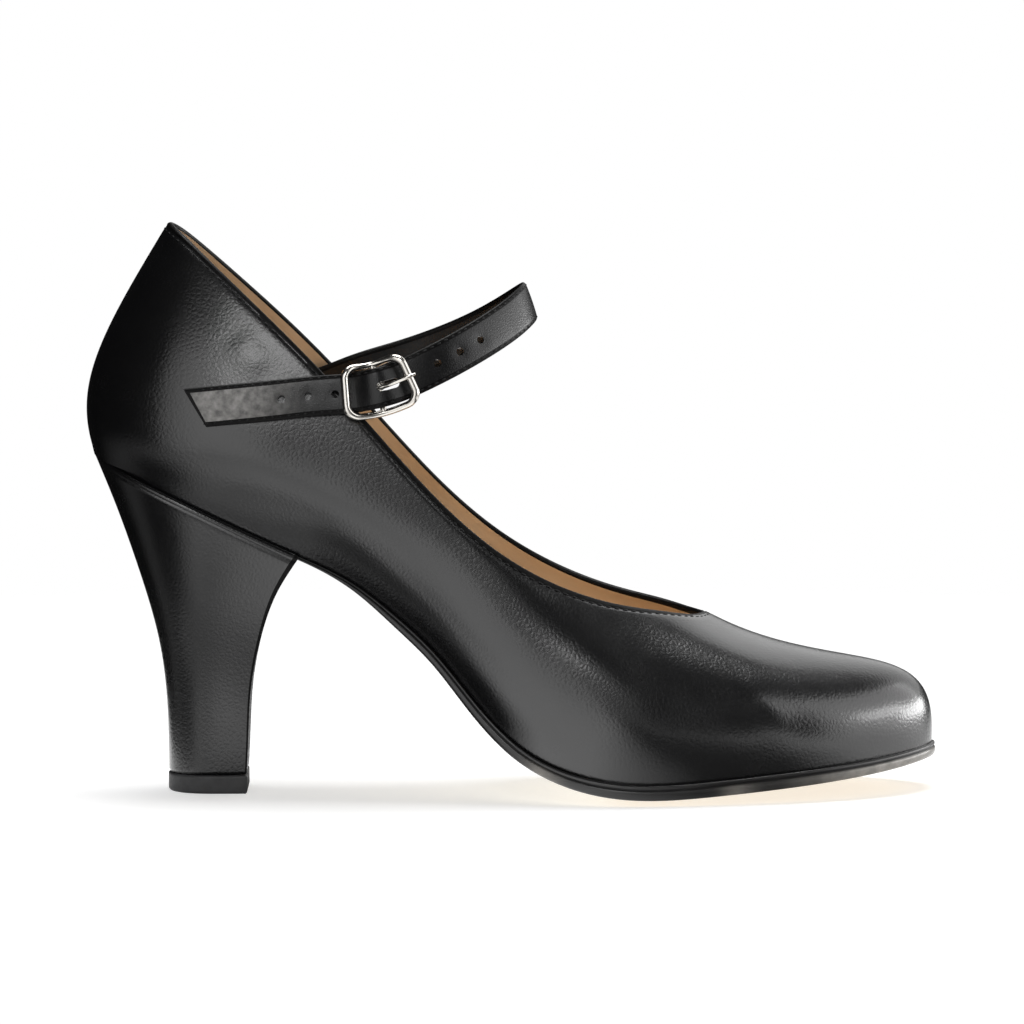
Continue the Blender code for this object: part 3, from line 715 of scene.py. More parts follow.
MOST_NOISE = (0.3, 0.7)  # between these a noise pattern has most of its values
GRAIN_GROOVE = 0.35  # distance from a grain cell's edge, as a share of its size, where its flat top starts
CALF_DRIFT = 0.015  # how far the calf's roughness drifts to either side
CALF_TONES = ("#060607", "#0c0c0d")


def colour(code):
    """An sRGB hex value as linear red, green, blue and alpha."""
    parts = [int(code[i : i + 2], 16) / 255 for i in (1, 3, 5)]
    return (*(p / 12.92 if p <= 0.04045 else ((p + 0.055) / 1.055) ** 2.4 for p in parts), 1.0)


def per_size(millimetres):
    """The scale of a pattern whose cells have this size."""
    return 1.0 / (millimetres * MM)


def add_node(tree, kind, settings=None, inputs=None):
    """Adds a node with its settings; each input takes a value or a link from another node's output."""
    node = tree.nodes.new(kind)
    for key, value in (settings or {}).items():
        setattr(node, key, value)
    for key, value in (inputs or {}).items():
        if isinstance(value, bpy.types.NodeSocket):
            tree.links.new(value, node.inputs[key])
        else:
            node.inputs[key].default_value = value
    return node


def new_finish(name, values):
    """A material with these values on its shader's sockets."""
    material = bpy.data.materials.new(name)
    material.use_nodes = True
    tree = material.node_tree
    shader = tree.nodes["Principled BSDF"]
    for key, value in values.items():
        shader.inputs[key].default_value = value
    place = add_node(tree, "ShaderNodeTexCoord").outputs["Object"]
    return material, tree, shader, place


def soft_noise(tree, place, size, detail):
    """A random pattern with soft patches of this size."""
    inputs = {"Vector": place, "Scale": per_size(size), "Detail": detail}
    return add_node(tree, "ShaderNodeTexNoise", None, inputs).outputs["Fac"]


def rescale(tree, value, first, last, to_first=0.0, to_last=1.0):
    """Takes a value from one range to another, and no further."""
    inputs = {"Value": value, "From Min": first, "From Max": last, "To Min": to_first, "To Max": to_last}
    return add_node(tree, "ShaderNodeMapRange", None, inputs).outputs[0]


def bumps(tree, pattern, high, strength, on=None, invert=False):
    """Relief this high from a pattern, on top of other relief where that is given."""
    inputs = {"Strength": strength, "Distance": high * MM, "Height": pattern}
    if on is not None:
        inputs["Normal"] = on
    return add_node(tree, "ShaderNodeBump", {"invert": invert}, inputs).outputs["Normal"]


def mix_tones(tree, share, first, second):
    """A colour between two others."""
    tones = {0: share, 6: first, 7: second}
    return add_node(tree, "ShaderNodeMix", {"data_type": "RGBA"}, tones).outputs[2]


def mottle(tree, place, size, dark, light, detail=3.0):
    """A colour that drifts between two values in soft patches of this size."""
    return mix_tones(tree, soft_noise(tree, place, size, detail), colour(dark), colour(light))


def dress(tree, shader, tone, drift, rough, bump):
    """Gives a shader its colour and relief, and a roughness that drifts with a pattern between two values."""
    drifting = rescale(tree, drift, *MOST_NOISE, *rough)
    for key, source in (("Base Color", tone), ("Roughness", drifting), ("Normal", bump)):
        tree.links.new(source, shader.inputs[key])


def show_through(material, share, tone):
    """Lets another tone show over a finish's own colour, as far as the share says."""
    tree = material.node_tree
    own = tree.nodes["Principled BSDF"].inputs["Base Color"]
    tree.links.new(mix_tones(tree, share, own.links[0].from_socket, colour(tone)), own)


def black_leather(name, dark, light, rough, grain, grain_height, coat, gloss):
    """Chrome-tanned calf with a pigmented finish: near black, a closed grain and a soft wax shine."""
    values = {"Coat Weight": coat, "Coat Roughness": 0.16, "IOR": 1.5, "Specular IOR Level": gloss}
    material, tree, shader, place = new_finish(name, values)
    cells = add_node(
        tree, "ShaderNodeTexVoronoi", {"feature": "DISTANCE_TO_EDGE"},
        {"Vector": place, "Scale": per_size(grain)},
    )
    plates = rescale(tree, cells.outputs["Distance"], 0.0, GRAIN_GROOVE)
    fine = soft_noise(tree, place, size=grain / 2.5, detail=4.0)
    drawn = soft_noise(tree, place, size=7.0, detail=1.5)
    grain_bump = bumps(tree, plates, grain_height, strength=0.45)
    fine_bump = bumps(tree, fine, high=0.6 * grain_height, strength=0.2, on=grain_bump)
    soft_bump = bumps(tree, drawn, high=0.25, strength=0.16, on=fine_bump)
    tone = mottle(tree, place, 18.0, dark, light)
    dress(tree, shader, tone, drawn, (rough - CALF_DRIFT, rough + CALF_DRIFT), soft_bump)
    return material


def lighten_in_flecks(material, tone, size, least):
    """Lets a lighter tone show in flecks of this size, as far as the point attribute for real wear and
    painted highlight says.
    """
    tree = material.node_tree
    place = tree.nodes["Texture Coordinate"].outputs["Object"]
    flecks = soft_noise(tree, place, size, detail=6.0)
    wear_and_sheen = add_node(tree, "ShaderNodeAttribute", {"attribute_name": "wear_and_sheen"}).outputs["Fac"]
    fleck_share = rescale(tree, flecks, *MOST_NOISE, to_first=least)
    shown = add_node(tree, "ShaderNodeMath", {"operation": "MULTIPLY"}, {0: wear_and_sheen, 1: fleck_share}).outputs[0]
    show_through(material, shown, tone)


def strap_leather_with_painted_sheen():
    """The same calf, rougher and duller, with a painted highlight in mottled grey flecks towards its free
    end.
    """
    material = black_leather(
        "black_strap_calf", "#0a0a0b", "#141415",
        rough=0.3, grain=0.65, grain_height=0.05, coat=0.12, gloss=0.34,
    )
    # painted highlight: pale grey flecks that stand in for the light on the strap's crown
    lighten_in_flecks(material, "#94928f", size=1.6, least=0.3)
    return material


def plain_leather(name, dark, light, rough, grain, grain_height):
    """Undyed or lightly dyed leather with no top coat: matt, pored, with a soft drift of colour."""
    material, tree, shader, place = new_finish(name, {"IOR": 1.48, "Specular IOR Level": 0.35})
    pores = add_node(tree, "ShaderNodeTexVoronoi", None, {"Vector": place, "Scale": per_size(grain)})
    fibres = soft_noise(tree, place, size=grain / 2, detail=5.0)
    pore_bump = bumps(tree, pores.outputs["Distance"], grain_height, strength=0.4, invert=True)
    bump = bumps(tree, fibres, grain_height, strength=0.5, on=pore_bump)
    tone = mottle(tree, place, 12.0, dark, light, detail=6.0)
    dress(tree, shader, tone, fibres, (rough - 0.07, rough + 0.08), bump)
    return material


def ribbed_sole_leather():
    """Split leather, ivory with tan showing along the pressed ribs; the rib attribute says where they are."""
    material = plain_leather(
        "ivory_sole_leather", "#efe2c4", "#f7eedb", rough=0.72, grain=0.9, grain_height=0.05
    )
    rib = add_node(material.node_tree, "ShaderNodeAttribute", {"attribute_name": "rib"}).outputs["Fac"]
    show_through(material, rib, "#e6c791")
    return material


def edge_ink(name, dark, light, wax):
    """Black ink on a cut or turned leather edge, waxed or not: darker than the leather, with fine streaks; on
    the upper, strap and heel it also paints shade.
    """
    values = {"Coat Weight": wax, "Coat Roughness": 0.18, "IOR": 1.5, "Specular IOR Level": 0.12 + wax}
    material, tree, shader, place = new_finish(name, values)
    longer = add_node(tree, "ShaderNodeMapping", None, {"Vector": place, "Scale": (0.12, 0.3, 1.0)})
    layers = soft_noise(tree, longer.outputs["Vector"], size=0.5, detail=4.0)
    bump = bumps(tree, layers, high=0.06, strength=0.4)
    tone = mottle(tree, place, 6.0, dark, light)
    dress(tree, shader, tone, layers, (0.3, 0.48), bump)
    return material


def sole_ink_wear_and_highlight():
    """Waxed black ink on the sole's edge, worn to pale leather in two small places, with a painted highlight
    in pale flecks round the toe.
    """
    material = edge_ink("black_sole_edge_ink", "#0d0d0e", "#1c1b1b", wax=0.35)
    # pale flecks: real wear, and a painted highlight round the toe
    lighten_in_flecks(material, "#a5a098", size=4.0, least=0.5)
    return material


def lift_rubber():
    """Hard black rubber, cut and buffed: dull, with fine grit marks."""
    values = {"IOR": 1.52, "Specular IOR Level": 0.4}
    material, tree, shader, place = new_finish("buffed_black_rubber", values)
    grit = soft_noise(tree, place, size=0.6, detail=5.0)
    bump = bumps(tree, grit, high=0.06, strength=0.5)
    tone = mottle(tree, place, 3.0, "#2c2c2d", "#404041")
    dress(tree, shader, tone, grit, (0.45, 0.62), bump)
    return material


def polished_nickel():
    """Nickel-plated cast zinc, tumbled bright: silvery with a warm cast, and very fine scratches."""
    material, tree, shader, place = new_finish("polished_nickel", {"Metallic": 1.0})
    handled = soft_noise(tree, place, size=2.2, detail=4.0)
    bump = bumps(tree, handled, high=0.04, strength=0.15)
    tone = mottle(tree, place, 4.0, "#cfcac2", "#e2dfd9")
    dress(tree, shader, tone, handled, (0.13, 0.24), bump)
    return material


def bonded_thread():
    """Black bonded polyester thread: twisted and dull, so that it hardly shows on the dressed edge."""
    values = {"IOR": 1.5, "Specular IOR Level": 0.2}
    material, tree, shader, place = new_finish("black_bonded_thread", values)
    twist = add_node(
        tree, "ShaderNodeTexWave", {"bands_direction": "DIAGONAL"},
        {"Vector": place, "Scale": per_size(0.6), "Distortion": 1.0},
    ).outputs["Fac"]
    bump = bumps(tree, twist, high=0.05, strength=0.5)
    tone = mottle(tree, place, 2.0, "#070708", "#0e0e0f")
    dress(tree, shader, tone, twist, (0.45, 0.6), bump)
    return material


# The upper


def crease_path(crease):
    """Points on the upper along one crease."""
    rows = [
        on_quarter(crease.x + (crease.to_x - crease.x) * share, crease.z + (crease.to_z - crease.z) * share,
                   crease.side == "medial")[0]
        for share in np.linspace(0, 1, CREASE_POINTS)
    ]
    return np.array(rows)


def crease_relief(points, crease):
    """How far one crease moves these points in or out, fading towards its ends."""
    path = crease_path(crease)
    distance = np.full(len(points), np.inf)
    share = np.zeros(len(points))
    for number, (start, end) in enumerate(zip(path, path[1:])):
        run = end - start
        along = np.clip((points - start) @ run / (run @ run), 0, 1)
        near = np.linalg.norm(points - start - along[:, None] * run, axis=1)
        closer = near < distance
        distance = np.where(closer, near, distance)
        share = np.where(closer, (number + along) / (CREASE_POINTS - 1), share)
    fade = soft_step(share, 0.0, CREASE_FADE) * soft_step(1 - share, 0.0, CREASE_FADE)
    return fade * crease.rise * hump(distance, crease.width)


def leather_waves(points):
    """The soft unevenness of leather drawn over a last."""
    return np.array([noise.noise(Vector(point / WAVE_SIZE)) for point in points]) * WAVE_HEIGHT


def to_collar(place, up):
    """How far below the collar a point of the upper is, along its surface."""
    return (1 - up) * np.linalg.norm(upper_rising(place, np.ones_like(up)), axis=1)


def to_back(place):
    """How far a place is from the heel's back, on either side, in sections of the last."""
    return np.minimum(place, ROUND - place)


def edge_lean(place, to_edge):
    """How far the collar's edge leans in, beside and in front of the opening."""
    near = np.clip(1 - to_edge / EDGE_LEAN_REACH, 0, 1)
    return EDGE_LEAN * soft_step(to_back(place), *EDGE_LEAN_FROM) * near**2


def upper_relief(points, place, up):
    """Creases, waves, the stitched edge's groove and the back seam, in millimetres outwards."""
    relief = leather_waves(points)
    for crease in CREASES:
        relief += crease_relief(points, crease)
    to_edge = to_collar(place, up)
    relief *= soft_step(to_edge, *CREASE_FROM_EDGE) * soft_step(up, 0.0, CREASE_UP)
    relief -= EDGE_GROOVE * hump(to_edge - EDGE_STITCH_IN, EDGE_GROOVE_WIDTH)
    from_seam = to_back(place) * np.linalg.norm(upper_at(1.0, 0.5) - upper_at(0.0, 0.5))
    relief -= BACK_SEAM_DEPTH * hump(from_seam, BACK_SEAM_WIDTH) * soft_step(to_edge, *BACK_SEAM_FROM_EDGE)
    return relief


def drawn_in(points, place):
    """How far the upper's lower part is drawn in over the heel seat and the waist."""
    above = points[:, 2] - lower_edge(place)[:, 2]
    beside = soft_step(to_back(place), *TUCK_FROM) * (1 - soft_step(to_back(place), *TUCK_TO))
    return TUCK * beside * np.clip(1 - above / TUCK_HEIGHT, 0, 1) ** 2


def upper_shares(across, along):
    """Place round the shoe, way up, turn over the edge and way down the lining."""
    place = np.interp(
        across, (0, SEAM_COLUMNS, 1 - SEAM_COLUMNS, 1), (0, SEAM_REACH, ROUND - SEAM_REACH, ROUND)
    )
    outside = np.clip(along / OUTSIDE_ROWS, 0, 1)
    turn = math.pi * np.clip((along - OUTSIDE_ROWS) / EDGE_ROWS, 0, 1)
    inside = np.clip((along - OUTSIDE_ROWS - EDGE_ROWS) / (1 - OUTSIDE_ROWS - EDGE_ROWS), 0, 1)
    up = np.interp(outside, (0, FINE_ROWS, 1), (0, FINE_UP, EDGE_UP)) - EDGE_UP * inside
    return place, up, turn, inside


def upper_shape(across, along):
    """Up the outside, over the folded edge and down the lining; the lower edge reaches down to the sole."""
    place, up, turn, inside = upper_shares(across, along)
    surface = upper_at(place, up)
    surface[:, 2] -= BED * (1 - soft_step(up, 0.0, BED_UP))
    normal = upper_normal(place, up)
    rising = unit(upper_rising(place, up))
    in_front = inside <= 0
    relief = np.where(in_front, upper_relief(surface, place, up), 0.0)
    tuck = np.where(in_front, drawn_in(surface, place), 0.0)
    depth = WALL / 2 * (1 - np.cos(turn)) + edge_lean(place, to_collar(place, up))
    shape = surface + (relief - depth)[:, None] * normal + (WALL / 2 * np.sin(turn))[:, None] * rising
    return shape - tuck[:, None] * outward_in_plan(LOWER_EDGE.way(place))


def upper_finish(across, along):
    """0 is the leather, 1 the lining and 2 the dressed edge between them, whose dark matt ink also paints the
    shade along the fold.
    """
    place, up, _, _ = upper_shares(across, along)
    dressed_and_shaded = (along > OUTSIDE_ROWS) | (to_collar(place, up) < EDGE_DRESSED_AND_SHADED)
    return np.where(along > OUTSIDE_ROWS + EDGE_ROWS, 1, np.where(dressed_and_shaded, 2, 0))


def make_upper(leather, lining, dressing_and_shade):
    built = share_grid(UPPER_COLUMNS, UPPER_ROWS)
    paint_faces(built, upper_finish)
    shape_grid(built, upper_shape)
    edges = [edge for edge in built.edges if edge.is_boundary]
    for face in bmesh.ops.bridge_loops(built, edges=edges)["faces"]:
        face.material_index = 2
    return add_piece("upper_leather", built, [leather, lining, dressing_and_shade], "upper")


def make_edge_stitches(thread):
    """The row of stitches under the collar's folded edge, all the way round."""
    place = np.linspace(0, ROUND, EDGE_PATH_POINTS)
    top = np.full(len(place), EDGE_UP)
    up = top - (EDGE_STITCH_IN - WALL / 2) / np.linalg.norm(upper_rising(place, top), axis=1)
    out = THREAD * THREAD_SHOWS - EDGE_GROOVE - edge_lean(place, to_collar(place, up))
    path = upper_at(place, up) + out[:, None] * upper_normal(place, up)
    return add_stitches("collar_stitches", [path], thread)


# Sole, sock and heel


def across_bottom(lateral, medial, across):
    """A point of the last's bottom between its lateral and medial edges, with the forefoot's belly."""
    points = lateral + (medial - lateral) * across[:, None]
    wide = np.linalg.norm(medial - lateral, axis=1) / BALL_WIDTH
    full = soft_step(points[:, 0] / LENGTH * 100, CUP_STARTS, CUP_FULL)
    belly = CUP * full * np.minimum(1, wide / CUP_WIDTH) ** 2
    points[:, 2] = bottom_at(points[:, 0])[0] - belly * 4 * across * (1 - across)
    return points


def past_lower_edge(place, out):
    """The upper's lower edge, moved outwards."""
    return lower_edge(place) + out[:, None] * outward_in_plan(LOWER_EDGE.way(place))


def by_lining(place, high, gap):
    """A point inside the shoe this high above the upper's lower edge and this far from the lining."""
    up = high / upper_rising(place, np.zeros_like(place))[:, 2]
    return upper_at(place, up) - (WALL + gap)[:, None] * upper_normal(place, up)


def places_to_toe(along, first, last):
    """Places round one side from first to last, closer together towards the toe's round end."""
    return first + (last - first) * (along + TOE_CROWD * np.sin(math.pi * along))


def sole_section(around):
    """Across, out and share of the way down, round one section of the outsole."""
    top, edge = SOLE_TOP_SHARE, SOLE_EDGE_SHARE
    marks = np.linspace(0, 1, len(SOLE_EDGE))
    outs = [step.out for step in SOLE_EDGE]
    downs = [step.down for step in SOLE_EDGE]
    medial = np.clip((around - top) / edge, 0, 1)
    lateral = np.clip((1 - around) / edge, 0, 1)
    under = np.clip((around - top - edge) / (1 - top - 2 * edge), 0, 1)
    across = np.clip(around / top, 0, 1) - under
    side = np.where(around > 1 - edge, lateral, medial)
    return across, np.interp(side, marks, outs), np.interp(side, marks, downs)


def on_forefoot(points):
    """0 behind the forefoot's ribs and 1 among them."""
    return soft_step(points[:, 0], RIBS_FROM - RIBS_FADE, RIBS_FROM)


def rib_pattern(points, across):
    """0 between the ribs and 1 on them, over the forefoot and clear of the edge."""
    wave = 0.5 + 0.5 * np.cos(2 * math.pi * points[:, 0] / RIB_PITCH)
    inside = soft_step(np.minimum(across, 1 - across), RIB_MARGIN, 2 * RIB_MARGIN)
    return soft_step(wave, *RIB_SLOPE) * inside * on_forefoot(points)


def outsole_shape(around, along):
    """Pared at the waist, flat where it stands on the floor, and pressed in between the ribs."""
    place = places_to_toe(along, SOLE_FROM, SOLE_TO)
    _, sole, edge = bottom_at(lower_edge(place)[:, 0])
    across, out, down = sole_section(around)
    edges = past_lower_edge(place, edge + out), past_lower_edge(ROUND - place, edge + out)
    points = across_bottom(*edges, across)
    full = soft_step(points[:, 0], SEAT_FRONT, SEAT_FRONT + SKIVE_REACH)
    sole = sole * (WAIST_SKIVE + (1 - WAIST_SKIVE) * full)
    points[:, 2] -= BED + down * sole * bottom_tilt(points[:, 0])
    points[:, 2] = np.maximum(points[:, 2], 0)
    under = soft_step(down, *UNDERSIDE)
    inside = soft_step(np.minimum(across, 1 - across), 0.0, RIB_MARGIN)
    points[:, 2] += RIB_DEPTH * under * (1 - rib_pattern(points, across)) * on_forefoot(points) * inside
    return points


def edge_wear_and_highlight(points):
    """How pale the lower part of the sole's edge is: real wear in two small places, and a painted highlight
    round the toe.
    """
    height, sole, _ = bottom_at(points[:, 0])
    down = (height - BED - points[:, 2]) / (sole * bottom_tilt(points[:, 0]))
    pale_share = sum(pale_mark.share * hump(points[:, 0] - pale_mark.x, pale_mark.reach) for pale_mark in EDGE_WEAR_AND_HIGHLIGHT)
    return pale_share * soft_step(down, *PALE_MARKS_BELOW)


def make_outsole(ink, ivory):
    first = SOLE_TOP_SHARE + SOLE_EDGE_SHARE
    piece = add_tube(
        "outsole_leather", (SOLE_AROUND, SOLE_STEPS), outsole_shape, [ink, ivory], "outsole",
        lambda around, along: (first < around) & (around < 1 - SOLE_EDGE_SHARE), sharp=55,
    )
    places = places_of(piece)
    mark_points(piece, "rib", rib_pattern(places, np.full(len(places), 0.5)))
    # real wear, and a painted highlight round the toe
    mark_points(piece, "wear_and_sheen", edge_wear_and_highlight(places))
    return piece


def sock_shape(around, along):
    """A thin layer with rounded edges on the last's bottom."""
    place = places_to_toe(along, SOCK_FROM, SOCK_TO)
    turn = 2 * math.pi * around
    across = 0.5 - 0.5 * squarer(np.cos(turn), SOCK_ROUND)
    thick = squarer(np.sin(turn), SOCK_EDGE_ROUND)
    high = BED - GAP + INSOLE_THICK * (1 + thick) / 2 * bottom_tilt(lower_edge(place)[:, 0])
    gap = SOCK_GAP * (1 - thick) / 2
    points = across_bottom(by_lining(place, high, gap), by_lining(ROUND - place, high, gap), across)
    points[:, 2] += high
    return points


def make_sock(leather):
    grid = SOCK_AROUND, SOCK_STEPS
    return add_tube("sock_leather", grid, sock_shape, [leather], "insole", sharp=60)


def heel_shape(around, along):
    """The covered block: a rounded rim at the seat, eased corners and a hollow breast."""
    share = np.interp(along, HEEL_ROW_SHARES, HEEL_ROW_UP)
    points, out, across, height = heel_at(around, share)
    below = (1 - share) * height
    above = share * height
    wall = across <= 0
    from_back = np.abs(2 * around / HEEL_WALL_SHARE - 1) * BREAST
    rim = HEEL_RIM * hump(below - HEEL_RIM_BELOW, HEEL_RIM_WIDTH)
    rim *= wall * soft_step(from_back, *HEEL_RIM_FROM)
    ease = HEEL_EASE * hump(below, HEEL_EASE) + HEEL_EASE * hump(above, HEEL_EASE)
    hollow = BREAST_HOLLOW * np.sin(math.pi * across)
    hollow *= soft_step(below, 0.0, HOLLOW_BELOW_SEAT) * soft_step(above, 0.0, HOLLOW_ABOVE_TIP)
    return points + (rim - ease - hollow)[:, None] * out


def make_heel(cover, dressing_and_shade):
    corner = HEEL_CORNER * HEEL_WALL_SHARE
    return add_tube(
        "heel_cover", (HEEL_AROUND, HEEL_ROWS), heel_shape, [cover, dressing_and_shade], "heel",
        lambda around, along: (around < corner) | (around > HEEL_WALL_SHARE - corner),
    )


def lift_shape(around, along):
    """The wearing tip: a little proud of the heel, with its corners taken off."""
    points, out, _, _ = heel_at(around, np.zeros(len(around)))
    marks, heights, cuts = zip(*LIFT_PROFILE)
    points[:, 2] = np.interp(along, marks, heights)
    return points + (LIFT_PROUD - np.interp(along, marks, cuts))[:, None] * out


def make_lift(rubber):
    grid = HEEL_AROUND, LIFT_ROWS
    return add_tube("top_piece_rubber", grid, lift_shape, [rubber], "top_piece")


# Strap and buckle


def strap_crown(across):
    """How far out the strap's face is, as a share of half its thickness."""
    return 1 - STRAP_CROWN * across**2


def strap_section(around):
    """A crowned strip with rounded edges: share across from -1 to 1, and share of half the thickness."""
    across = -np.cos(2 * math.pi * around)
    front = around <= 0.5
    thick = np.sqrt(np.clip(1 - np.abs(across) ** STRAP_EDGE_POWER, 0, 1))
    return across, thick * np.where(front, strap_crown(across), -1.0)


def strap_shape(around, along):
    across, thick = strap_section(around)
    mark = STRAP_FIRST + (STRAP_LAST - STRAP_FIRST) * along
    cut = np.clip(1 - (mark - STRAP_FIRST) / (2 * TAIL_SLANT), 0, 1) * TAIL_SLANT
    at = mark + cut * (0.5 - across / 2)
    out = thick * STRAP_THICK / 2 + strap_lift(at)
    for pitch in HOLES:
        away = np.hypot(at - SLOT_MIDDLE - pitch * HOLE_PITCH, across * STRAP_WIDTH / 2)
        out -= HOLE_DIMPLE * hump(away, HOLE_DIMPLE_WIDTH) * (thick > 0)
    return by_strap(at, across * STRAP_WIDTH / 2, out)


def hole_peg(along, length, radius, middle):
    """A round-ended peg across the strap's face, this far out, as an object that cuts a hole."""
    built = bmesh.new()
    bmesh.ops.create_cone(
        built, cap_ends=True, segments=HOLE_SIDES, radius1=radius, radius2=radius, depth=4 * STRAP_THICK
    )
    for vert in built.verts:
        at = along + vert.co.x + math.copysign(length / 2 - radius, vert.co.x)
        vert.co = (by_strap(at, vert.co.y, middle + vert.co.z) + SHIFT) * MM
    bmesh.ops.recalc_face_normals(built, faces=built.faces)
    return put_mesh_in_scene("peg", built)


def cut_out(piece, pegs):
    """Cuts the pegs out of a piece and takes them away."""
    for peg in pegs:
        cutter = piece.modifiers.new("hole", "BOOLEAN")
        cutter.operation = "DIFFERENCE"
        cutter.object = peg
    graph = bpy.context.evaluated_depsgraph_get()
    cut = bpy.data.meshes.new_from_object(piece.evaluated_get(graph))
    piece.modifiers.clear()
    piece.data = cut
    cut.set_sharp_from_angle(angle=math.radians(SHARP))
    for peg in pegs:
        bpy.data.objects.remove(peg)


def make_strap(leather, dressing_and_shade):
    piece = add_tube(
        "instep_strap", (STRAP_AROUND, STRAP_STEPS), strap_shape, [leather, dressing_and_shade],
        "strap", lambda around, along: (abs(strap_section(around)[0]) > STRAP_FACE) | (along < TAIL_EDGE),
        end_finish=1,
    )
    pegs = [hole_peg(SLOT_MIDDLE, SLOT_LENGTH, SLOT_RADIUS, float(strap_lift(SLOT_MIDDLE)))]
    for pitch in HOLES:
        pegs.append(hole_peg(SLOT_MIDDLE + pitch * HOLE_PITCH, 2 * HOLE_RADIUS, HOLE_RADIUS, 0.0))
    cut_out(piece, pegs)
    places = places_of(piece)
    from_end = places[:, 0] - by_strap(STRAP_FIRST, 0.0, 0.0)[0]
    # painted highlight towards the strap's free end, on its outer side only
    mark_points(piece, "wear_and_sheen", (1 - soft_step(from_end, *STRAP_SHEEN_REACH)) * (places[:, 1] < 0))
    return piece


def make_strap_stitches(thread):
    """A row along each edge of the strap, and the box of stitches that holds its end inside the quarter."""
    from_free, from_sewn = STRAP_STITCH_ENDS
    marks = np.linspace(STRAP_FIRST + from_free, STRAP_LAST - from_sewn, STRAP_PATH_POINTS)
    paths = []
    for side in (-1, 1):
        across = np.full(len(marks), side * (STRAP_WIDTH / 2 - STRAP_STITCH_IN))
        face = strap_crown(across / (STRAP_WIDTH / 2)) * STRAP_THICK / 2 + strap_lift(marks)
        paths.append(by_strap(marks, across, face - STRAP_STITCH_SUNK))
    box = []
    for (x, z), (to_x, to_z) in zip(STITCH_BOX, STITCH_BOX[1:] + STITCH_BOX[:1]):
        for share in np.linspace(0, 1, BOX_SIDE_POINTS + 1)[:-1]:
            point, normal = on_quarter(x + (to_x - x) * share, z + (to_z - z) * share, medial=True)
            box.append(point - BOX_STITCH_SUNK * normal)
    paths.append(np.array(box + box[:1]))
    return add_stitches(
        "strap_stitches", paths, thread, STRAP_STITCH_PITCH, STRAP_STITCH_LENGTH
    )


def add_wire(name, runs, radius, finish, stands_for):
    """Round wire along runs of points in the strap's coordinates; a run that comes back is closed."""
    curve = bpy.data.curves.new(name, "CURVE")
    curve.dimensions = "3D"
    curve.bevel_depth = radius * MM
    curve.bevel_resolution = WIRE_ROUND
    curve.use_fill_caps = True
    for points, closed, radii in runs:
        spline = curve.splines.new("POLY")
        spline.points.add(len(points) - 1)
        for knot, point, size in zip(spline.points, points, radii):
            knot.co = (*(by_strap(*point) + SHIFT) * MM, 1.0)
            knot.radius = size
        spline.use_cyclic_u = closed
    draft = put_in_scene(name + "_draft", curve)
    built = bmesh.new()
    mesh = bpy.data.meshes.new_from_object(draft.evaluated_get(bpy.context.evaluated_depsgraph_get()))
    built.from_mesh(mesh)
    bpy.data.objects.remove(draft)
    bmesh.ops.remove_doubles(built, verts=built.verts, dist=1e-7)
    return add_piece(name, built, [finish], stands_for, sharp=60)


def frame_corner(end, side, turn):
    """A point along and across the strap on one of the buckle frame's round corners."""
    along = end * (BUCKLE_HALF_LENGTH - BUCKLE_CORNER) + BUCKLE_CORNER * math.cos(turn)
    across = side * (BUCKLE_HALF_WIDTH - BUCKLE_CORNER) + BUCKLE_CORNER * math.sin(turn)
    return along, across


def frame_path():
    """The buckle frame's rounded rectangle, dipping between its end bars to its middle bar."""
    corners = ((1, 1), (-1, 1), (-1, -1), (1, -1))
    points = []
    for quarter, corner in enumerate(corners):
        turns = np.radians(np.linspace(0, 90, FRAME_STEPS) + 90 * quarter)
        points.extend(frame_corner(*corner, turn) for turn in turns)
        goal = frame_corner(*corners[(quarter + 1) % 4], math.radians(90 * (quarter + 1)))
        start = points[-1]
        for share in np.linspace(0, 1, FRAME_STEPS)[1:-1]:
            points.append(tuple(a + (b - a) * share for a, b in zip(start, goal)))
    dip = [(1 - min(1.0, (along / BUCKLE_HALF_LENGTH) ** 2)) ** FRAME_DIP for along, _ in points]
    return [(*point, BAR_LIFT - low * (BAR_LIFT - MIDDLE_BAR)) for point, low in zip(points, dip)]


def make_buckle_frame(nickel):
    rim = frame_path()
    reach = np.linspace(-BUCKLE_HALF_WIDTH, BUCKLE_HALF_WIDTH, BAR_POINTS)
    bar = [(0.0, across, MIDDLE_BAR) for across in reach]
    by_end = [soft_step(abs(along), FRAME_ENDS_FROM, BUCKLE_HALF_LENGTH) for along, _, _ in rim]
    thick = [FRAME_SIDES + FRAME_ENDS * share for share in by_end]
    runs = [(rim, True, thick), (bar, False, np.full(len(bar), BAR_SIZE))]
    return add_wire("buckle_frame_nickel", runs, BUCKLE_WIRE, nickel, "buckle_frame")


def make_buckle_prong(nickel):
    hook = BUCKLE_WIRE + GAP + PRONG_WIRE
    turns = np.radians(np.linspace(*PRONG_HOOK, PRONG_HOOK_STEPS))
    points = [(hook * math.cos(turn), MIDDLE_BAR + hook * math.sin(turn)) for turn in turns]
    points += PRONG_BENDS
    smooth = Curve(np.arange(len(points)), points).at(np.linspace(0, len(points) - 1, PRONG_STEPS))
    radii = np.interp(np.arange(PRONG_STEPS), *zip(*PRONG_SWELLS))
    run = [(along, 0.0, out) for along, out in smooth]
    return add_wire("buckle_prong_nickel", [(run, False, radii)], PRONG_WIRE, nickel, "buckle_prong")


